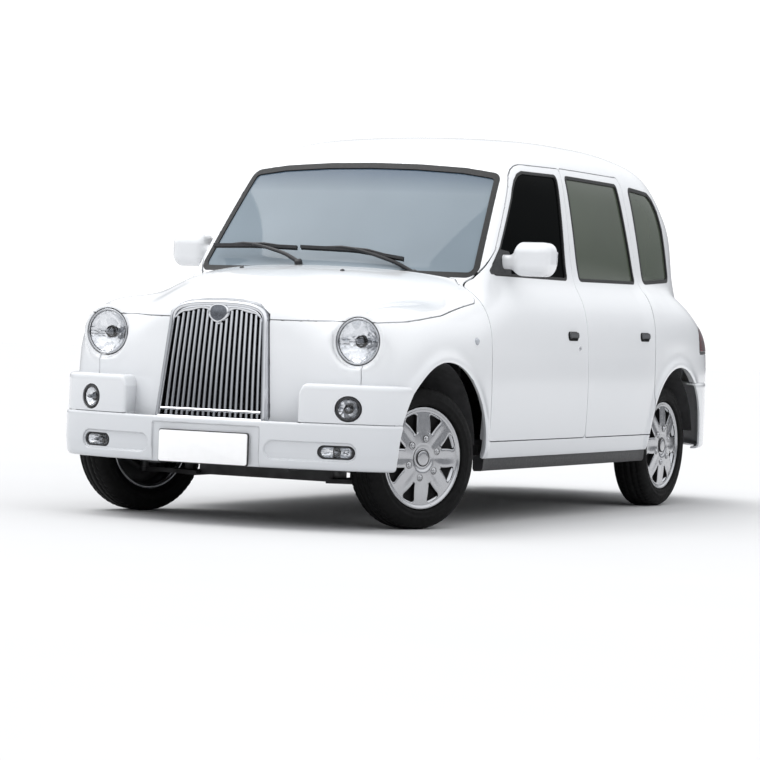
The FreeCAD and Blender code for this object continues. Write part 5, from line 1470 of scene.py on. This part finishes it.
# ------------------------------------------------------------------ wipers
def wiper(name, path, pivot, sg=1):
    pts = [Vector((x / 1000, s / 1000 - 1.622, z / 1000)) for x, s, z in path]
    fine = []
    n = len(pts)
    for i in range(25):
        t_ = i / 24 * (n - 1)
        k = min(int(t_), n - 2)
        fine.append(pts[k].lerp(pts[k + 1], t_ - k))
    for _ in range(4):
        fine = [fine[0]] + [(fine[i - 1] + fine[i] * 2 + fine[i + 1]) / 4 for i in range(1, 24)] + [fine[-1]]
    obs = []
    off = Vector((0, -.004, .007))
    rub = [[p + Vector((0, a, b_)) for a, b_ in ((-.0020, -.001), (.0020, -.004), (.0040, .008), (-.0055, .009))] for p in fine]
    obs.append(fix_normals(strips("rubber", rub, [RUBBER], caps=(True, True))))
    spine = [[p + off + Vector((0, a, b_)) for a, b_ in ((-.0085, -.002), (.0075, -.003), (.0068, .010), (-.0070, .012))] for p in fine]
    obs.append(fix_normals(strips("spine", spine, [BLACK], caps=(True, True))))
    mid = fine[12] + Vector((0, -.010, .016))
    pv = Vector((pivot[0] / 1000, pivot[1] / 1000 - 1.622, pivot[2] / 1000 + .010))
    q1 = pv.lerp(mid, .28) + Vector((0, -.006, .016))
    q2 = pv.lerp(mid, .70) + Vector((0, -.005, .010))
    arm = [pv, q1, q2, mid]
    af = []
    for i in range(19):
        t_ = i / 18 * 3
        k = min(int(t_), 2)
        af.append(arm[k].lerp(arm[k + 1], t_ - k))
    for _ in range(4):
        af = [af[0]] + [(af[i - 1] + af[i] * 2 + af[i + 1]) / 4 for i in range(1, 18)] + [af[-1]]
    obs.append(tube("arm", af, [.0105 - .0035 * i / 18 for i in range(19)], [BLACK], segs=12))
    obs.append(lathe("pivot", [(.019, -.028), (.019, .004), (.015, .011), (.0005, .013)], pv, (0, -.35, 1), [BLACK], segs=28))
    br = [fine[5] + Vector((0, -.004, .014)), fine[9] + Vector((0, -.008, .020)), mid, fine[15] + Vector((0, -.008, .020)), fine[19] + Vector((0, -.004, .014))]
    obs.append(tube("bracket", br, [.0050, .0064, .0070, .0064, .0050], [BLACK], segs=8))
    put(join(name, obs), "root", "black_plastic", "wipers")


wiper("wiper_right", [(-668, 572, 1250), (-410, 492, 1253), (-154, 456, 1247)], (-120, 404, 1178))
wiper("wiper_left", [(-133, 455, 1250), (150, 462, 1243), (400, 470, 1208)], (452, 468, 1144))

# ------------------------------------------------------------------ sills and the dark edge under the cab
for tag, sg in (("left", 1), ("right", -1)):
    rb = []
    for s_ in np.linspace(.452, WB - AR - .008, 40):
        xo = float(hit_x(body_field, s_, .315)[0])
        rb.append([Vector((sg * (xo - dx), s_ - 1.622, z_)) for dx, z_ in ((.012, .318), (.012, .300), (.016, .262), (.024, .252), (.060, .250), (.066, .262), (.066, .318))])
    put(fix_normals(strips("sill_edge_" + tag, rb, [BLACK], closed=True, caps=(True, True))), "root", "black_plastic")

# ------------------------------------------------------------------ seats
def cushion(name, lo, hi, body, node=None, lean=0.0, pivot=None, crown=.018, channels=(), corner=.045):
    """A stuffed pad: a rounded form swelled by cloth, then seams and channels pressed in."""
    lo, hi = np.array(lo, float), np.array(hi, float)
    ctr, half = (lo + hi) / 2, (hi - lo) / 2 - crown * .45
    bm = bmesh.new()
    bmesh.ops.create_cube(bm, size=2)
    for v_ in bm.verts:
        v_.co = Vector((v_.co.x * half[0], v_.co.y * half[1], v_.co.z * half[2]))
    r_ = min(corner, half.min() * .85)
    bmesh.ops.bevel(bm, geom=list(bm.edges), offset=r_, segments=4, profile=.5, affect="EDGES", clamp_overlap=True)
    me = bpy.data.meshes.new(name)
    bm.to_mesh(me)
    bm.free()
    ob = bpy.data.objects.new(name, me)
    scene.collection.objects.link(ob)
    me.materials.append(FABRIC)
    md = ob.modifiers.new("r", "REMESH")
    md.mode = "VOXEL"
    md.voxel_size = .0105
    md.use_smooth_shade = True
    dg = bpy.context.evaluated_depsgraph_get()
    me2 = bpy.data.meshes.new_from_object(ob.evaluated_get(dg))
    ob.modifiers.clear()
    ob.data = me2
    base = np.array([v_.co for v_ in me2.vertices], float)
    cl = ob.modifiers.new("c", "CLOTH")
    st = cl.settings
    st.quality = 5
    st.mass = .3
    st.use_pressure = True
    st.uniform_pressure_force = 4.0
    st.tension_stiffness = st.compression_stiffness = 12
    st.shear_stiffness = 6
    st.bending_stiffness = .6
    st.effector_weights.gravity = 0
    cl.collision_settings.use_collision = False
    cl.point_cache.frame_start = 1
    cl.point_cache.frame_end = 20
    for f_ in range(1, 17):
        scene.frame_set(f_)
    dg = bpy.context.evaluated_depsgraph_get()
    ev = ob.evaluated_get(dg)
    new = np.array([v_.co for v_ in ev.data.vertices], float)
    ob.modifiers.clear()
    scene.frame_set(1)
    mv = new - base
    L = np.linalg.norm(mv, axis=1, keepdims=True)
    mv *= np.minimum(1, crown * .95 / np.maximum(L, 1e-9))
    Q = base + mv
    # sewn channels across the broad faces, and a seam round the border
    q = Q / np.maximum(half, 1e-6)
    ax_n = int(np.argmin(half))
    a_, b_ = [k for k in range(3) if k != ax_n]
    face_w = np.clip((np.abs(q[:, ax_n]) - .55) / .3, 0, 1)
    dent = np.zeros(len(Q))
    for k, where in channels:
        dent += .0080 * np.exp(-((Q[:, k] - where) / .0085) ** 2) * face_w * (np.abs(q[:, b_ if k == a_ else a_]) < .84)
    border = np.maximum(np.abs(q[:, a_]), np.abs(q[:, b_]))
    dent += .0060 * np.exp(-((border - .86) / .03) ** 2) * face_w
    Q[:, ax_n] -= np.sign(q[:, ax_n]) * dent
    wrinkle = np.sin(Q[:, a_] * 71 + 3 * np.sin(Q[:, b_] * 23)) * np.sin(Q[:, b_] * 47 + 1.3) * .0007
    Q[:, ax_n] += np.sign(q[:, ax_n]) * wrinkle * face_w
    Q = np.clip(Q, -(hi - lo) / 2 - .004, (hi - lo) / 2 + .004)
    if lean:
        c_, s_ = math.cos(lean), math.sin(lean)
        pv = np.array(pivot) - ctr
        y, z = Q[:, 1] - pv[1], Q[:, 2] - pv[2]
        Q = np.stack([Q[:, 0], pv[1] + y * c_ - z * s_, pv[2] + y * s_ + z * c_], 1)
    Q = Q + ctr + np.array([0, YF, 0])
    ob.data.vertices.foreach_set("co", Q.ravel())
    ob.data.update()
    for p_ in ob.data.polygons:
        p_.use_smooth = True
    if not ob.data.materials:
        ob.data.materials.append(FABRIC)
    ob.data.name = name
    put(ob, body, "seat_fabric", *([node] if node else []))
    return ob


dxs = .380
cushion("driver_cushion", (dxs - .245, 1.085, .560), (dxs + .245, 1.498, .690), "root", "driver_seat", channels=[(0, -.11), (0, 0), (0, .11)], crown=.018)
cushion("driver_backrest", (dxs - .235, 1.505, .690), (dxs + .235, 1.600, 1.225), "root", channels=[(2, -.15), (2, -.05), (2, .05), (2, .15)], crown=.014, corner=.040)
cushion("driver_head_restraint", (dxs - .125, 1.515, 1.265), (dxs + .125, 1.592, 1.422), "root", crown=.012, corner=.035)
put(rbox("driver_seat_base", (dxs - .20, 1.125 - 1.622, .392), (dxs + .20, 1.545 - 1.622, .560), BLACK, bevel=.018), "root", "black_plastic")
for k in (-1, 1):
    put(tube("head_restraint_post_%s" % ("left" if k > 0 else "right"), [(dxs + k * .065, 1.552 - 1.622, 1.20), (dxs + k * .065, 1.552 - 1.622, 1.29)], .006, [CHROME], segs=12), "root", "bright_trim")
for i, (xa, xb) in enumerate(((-.530, -.182), (-.178, .178), (.182, .530))):
    side_ = ("right", "middle", "left")[i]
    cushion("rear_cushion_" + side_, (xa, 2.475, .690), (xb, 2.955, .815), "root", "rear_bench", channels=[(0, -.06), (0, .06)], crown=.016)
    cushion("rear_backrest_" + side_, (xa, 2.985, .815), (xb, 3.105, 1.425), "root", channels=[(0, -.06), (0, .06)], crown=.014, lean=math.radians(-5), pivot=(0, 3.05, .82), corner=.04)
put(rbox("rear_bench_base", (-.530, 2.470 - 1.622, .547), (.530, 3.080 - 1.622, .690), TRIM, bevel=.015), "root", "seat_fabric")

# ------------------------------------------------------------------ materials of the CAD nodes that stay
for names, m in ((("chassis_frame", "front_suspension", "rear_axle", "fuel_tank", "knuckle_left", "knuckle_right"), CHASSIS),
                 (("floor_pan", "bulkhead", "boot_floor", "wheelhouses"), UNDERSEAL), (("engine_block", "drivetrain"), CAST),
                 (("radiator",), RADIATOR), (("exhaust",), STEEL)):
    for n in names:
        recolour(n, m)
DEFAULTS = {"partition": BLACK, "dashboard": BLACK, "steering_wheel": BLACK, }
for n, m in DEFAULTS.items():
    if n in NODES:
        recolour(n, m)

# ------------------------------------------------------------------ floor, light, camera
bm = bmesh.new()
R = 60
vs = [bm.verts.new((math.cos(a) * R, math.sin(a) * R, 0)) for a in np.linspace(0, 2 * math.pi, 96, endpoint=False)]
bm.faces.new(vs)
me = bpy.data.meshes.new("floor")
bm.to_mesh(me)
bm.free()
floor = bpy.data.objects.new("floor", me)
scene.collection.objects.link(floor)
FLOOR, t, b = material("floor_pale")
v = coords(t)
t.links.new(ramp(t, noise(t, v, .8, 3), [(.3, (.622, .622, .624)), (.7, (.632, .632, .634))]), b.inputs["Base Color"])
b.inputs["Roughness"].default_value = .95
b.inputs["Specular IOR Level"].default_value = .05
me.materials.append(FLOOR)

world = bpy.data.worlds.new("studio")
scene.world = world
world.use_nodes = True
nt = world.node_tree
for n in list(nt.nodes):
    nt.nodes.remove(n)
out = nt.nodes.new("ShaderNodeOutputWorld")
bgc, bgl, mix = nt.nodes.new("ShaderNodeBackground"), nt.nodes.new("ShaderNodeBackground"), nt.nodes.new("ShaderNodeMixShader")
lp = nt.nodes.new("ShaderNodeLightPath")
tc = nt.nodes.new("ShaderNodeTexCoord")
sp = nt.nodes.new("ShaderNodeSeparateXYZ")
nt.links.new(tc.outputs["Generated"], sp.inputs[0])
rp = ramp(nt, sp.outputs["Z"], [(0.0, (.15, .155, .17)), (.10, (.30, .31, .33)), (.25, (.94, .96, .99)), (.45, (1.28, 1.30, 1.33)), (1.0, (1.34, 1.35, 1.37))])
nt.links.new(rp, bgl.inputs["Color"])
bgl.inputs["Strength"].default_value = 1.0
bgc.inputs["Color"].default_value = (1, 1, 1, 1)
bgc.inputs["Strength"].default_value = 1.15
nt.links.new(lp.outputs["Is Camera Ray"], mix.inputs[0])
nt.links.new(bgl.outputs[0], mix.inputs[1])
nt.links.new(bgc.outputs[0], mix.inputs[2])
nt.links.new(mix.outputs[0], out.inputs[0])


def area(name, loc, target, size, power, col=(1, 1, 1), size_y=None):
    L = bpy.data.lights.new(name, "AREA")
    L.shape = "RECTANGLE"
    L.size = size
    L.size_y = size_y or size
    L.energy = power
    L.color = col
    o = bpy.data.objects.new(name, L)
    scene.collection.objects.link(o)
    o.location = loc
    o.rotation_euler = (Vector(target) - Vector(loc)).to_track_quat("-Z", "Y").to_euler()
    return o


def sun(name, direction, power, angle, col=(1, 1, 1)):
    """A broad far light, shining along direction."""
    L = bpy.data.lights.new(name, "SUN")
    L.energy = power
    L.angle = math.radians(angle)
    L.color = col
    o = bpy.data.objects.new(name, L)
    scene.collection.objects.link(o)
    o.rotation_euler = Vector(direction).to_track_quat("-Z", "Y").to_euler()
    return o


sun("key", (.48, .12, -1.0), 1.25, 38)

cam = bpy.data.objects.new("camera", bpy.data.cameras.new("camera"))
scene.collection.objects.link(cam)
r2, u2, bk = Vector((.8965, .4416, .0370)), Vector((-.0421, .0017, .9991)), Vector((.4411, -.8972, .0201))
bk.normalize()
r2 = (r2 - bk * r2.dot(bk)).normalized()
u2 = bk.cross(r2)
Mx = Matrix.Identity(4)
for i in range(3):
    Mx[i][0], Mx[i][1], Mx[i][2] = r2[i], u2[i], bk[i]
Mx[0][3], Mx[1][3], Mx[2][3] = 6.893, -14.564, .949
cam.matrix_world = Mx
cam.data.sensor_width = 36
cam.data.lens = 151.61
cam.data.clip_end = 200
scene.camera = cam
scene.view_settings.view_transform = "Standard"
scene.view_settings.look = "None"
scene.view_settings.exposure = 0.0
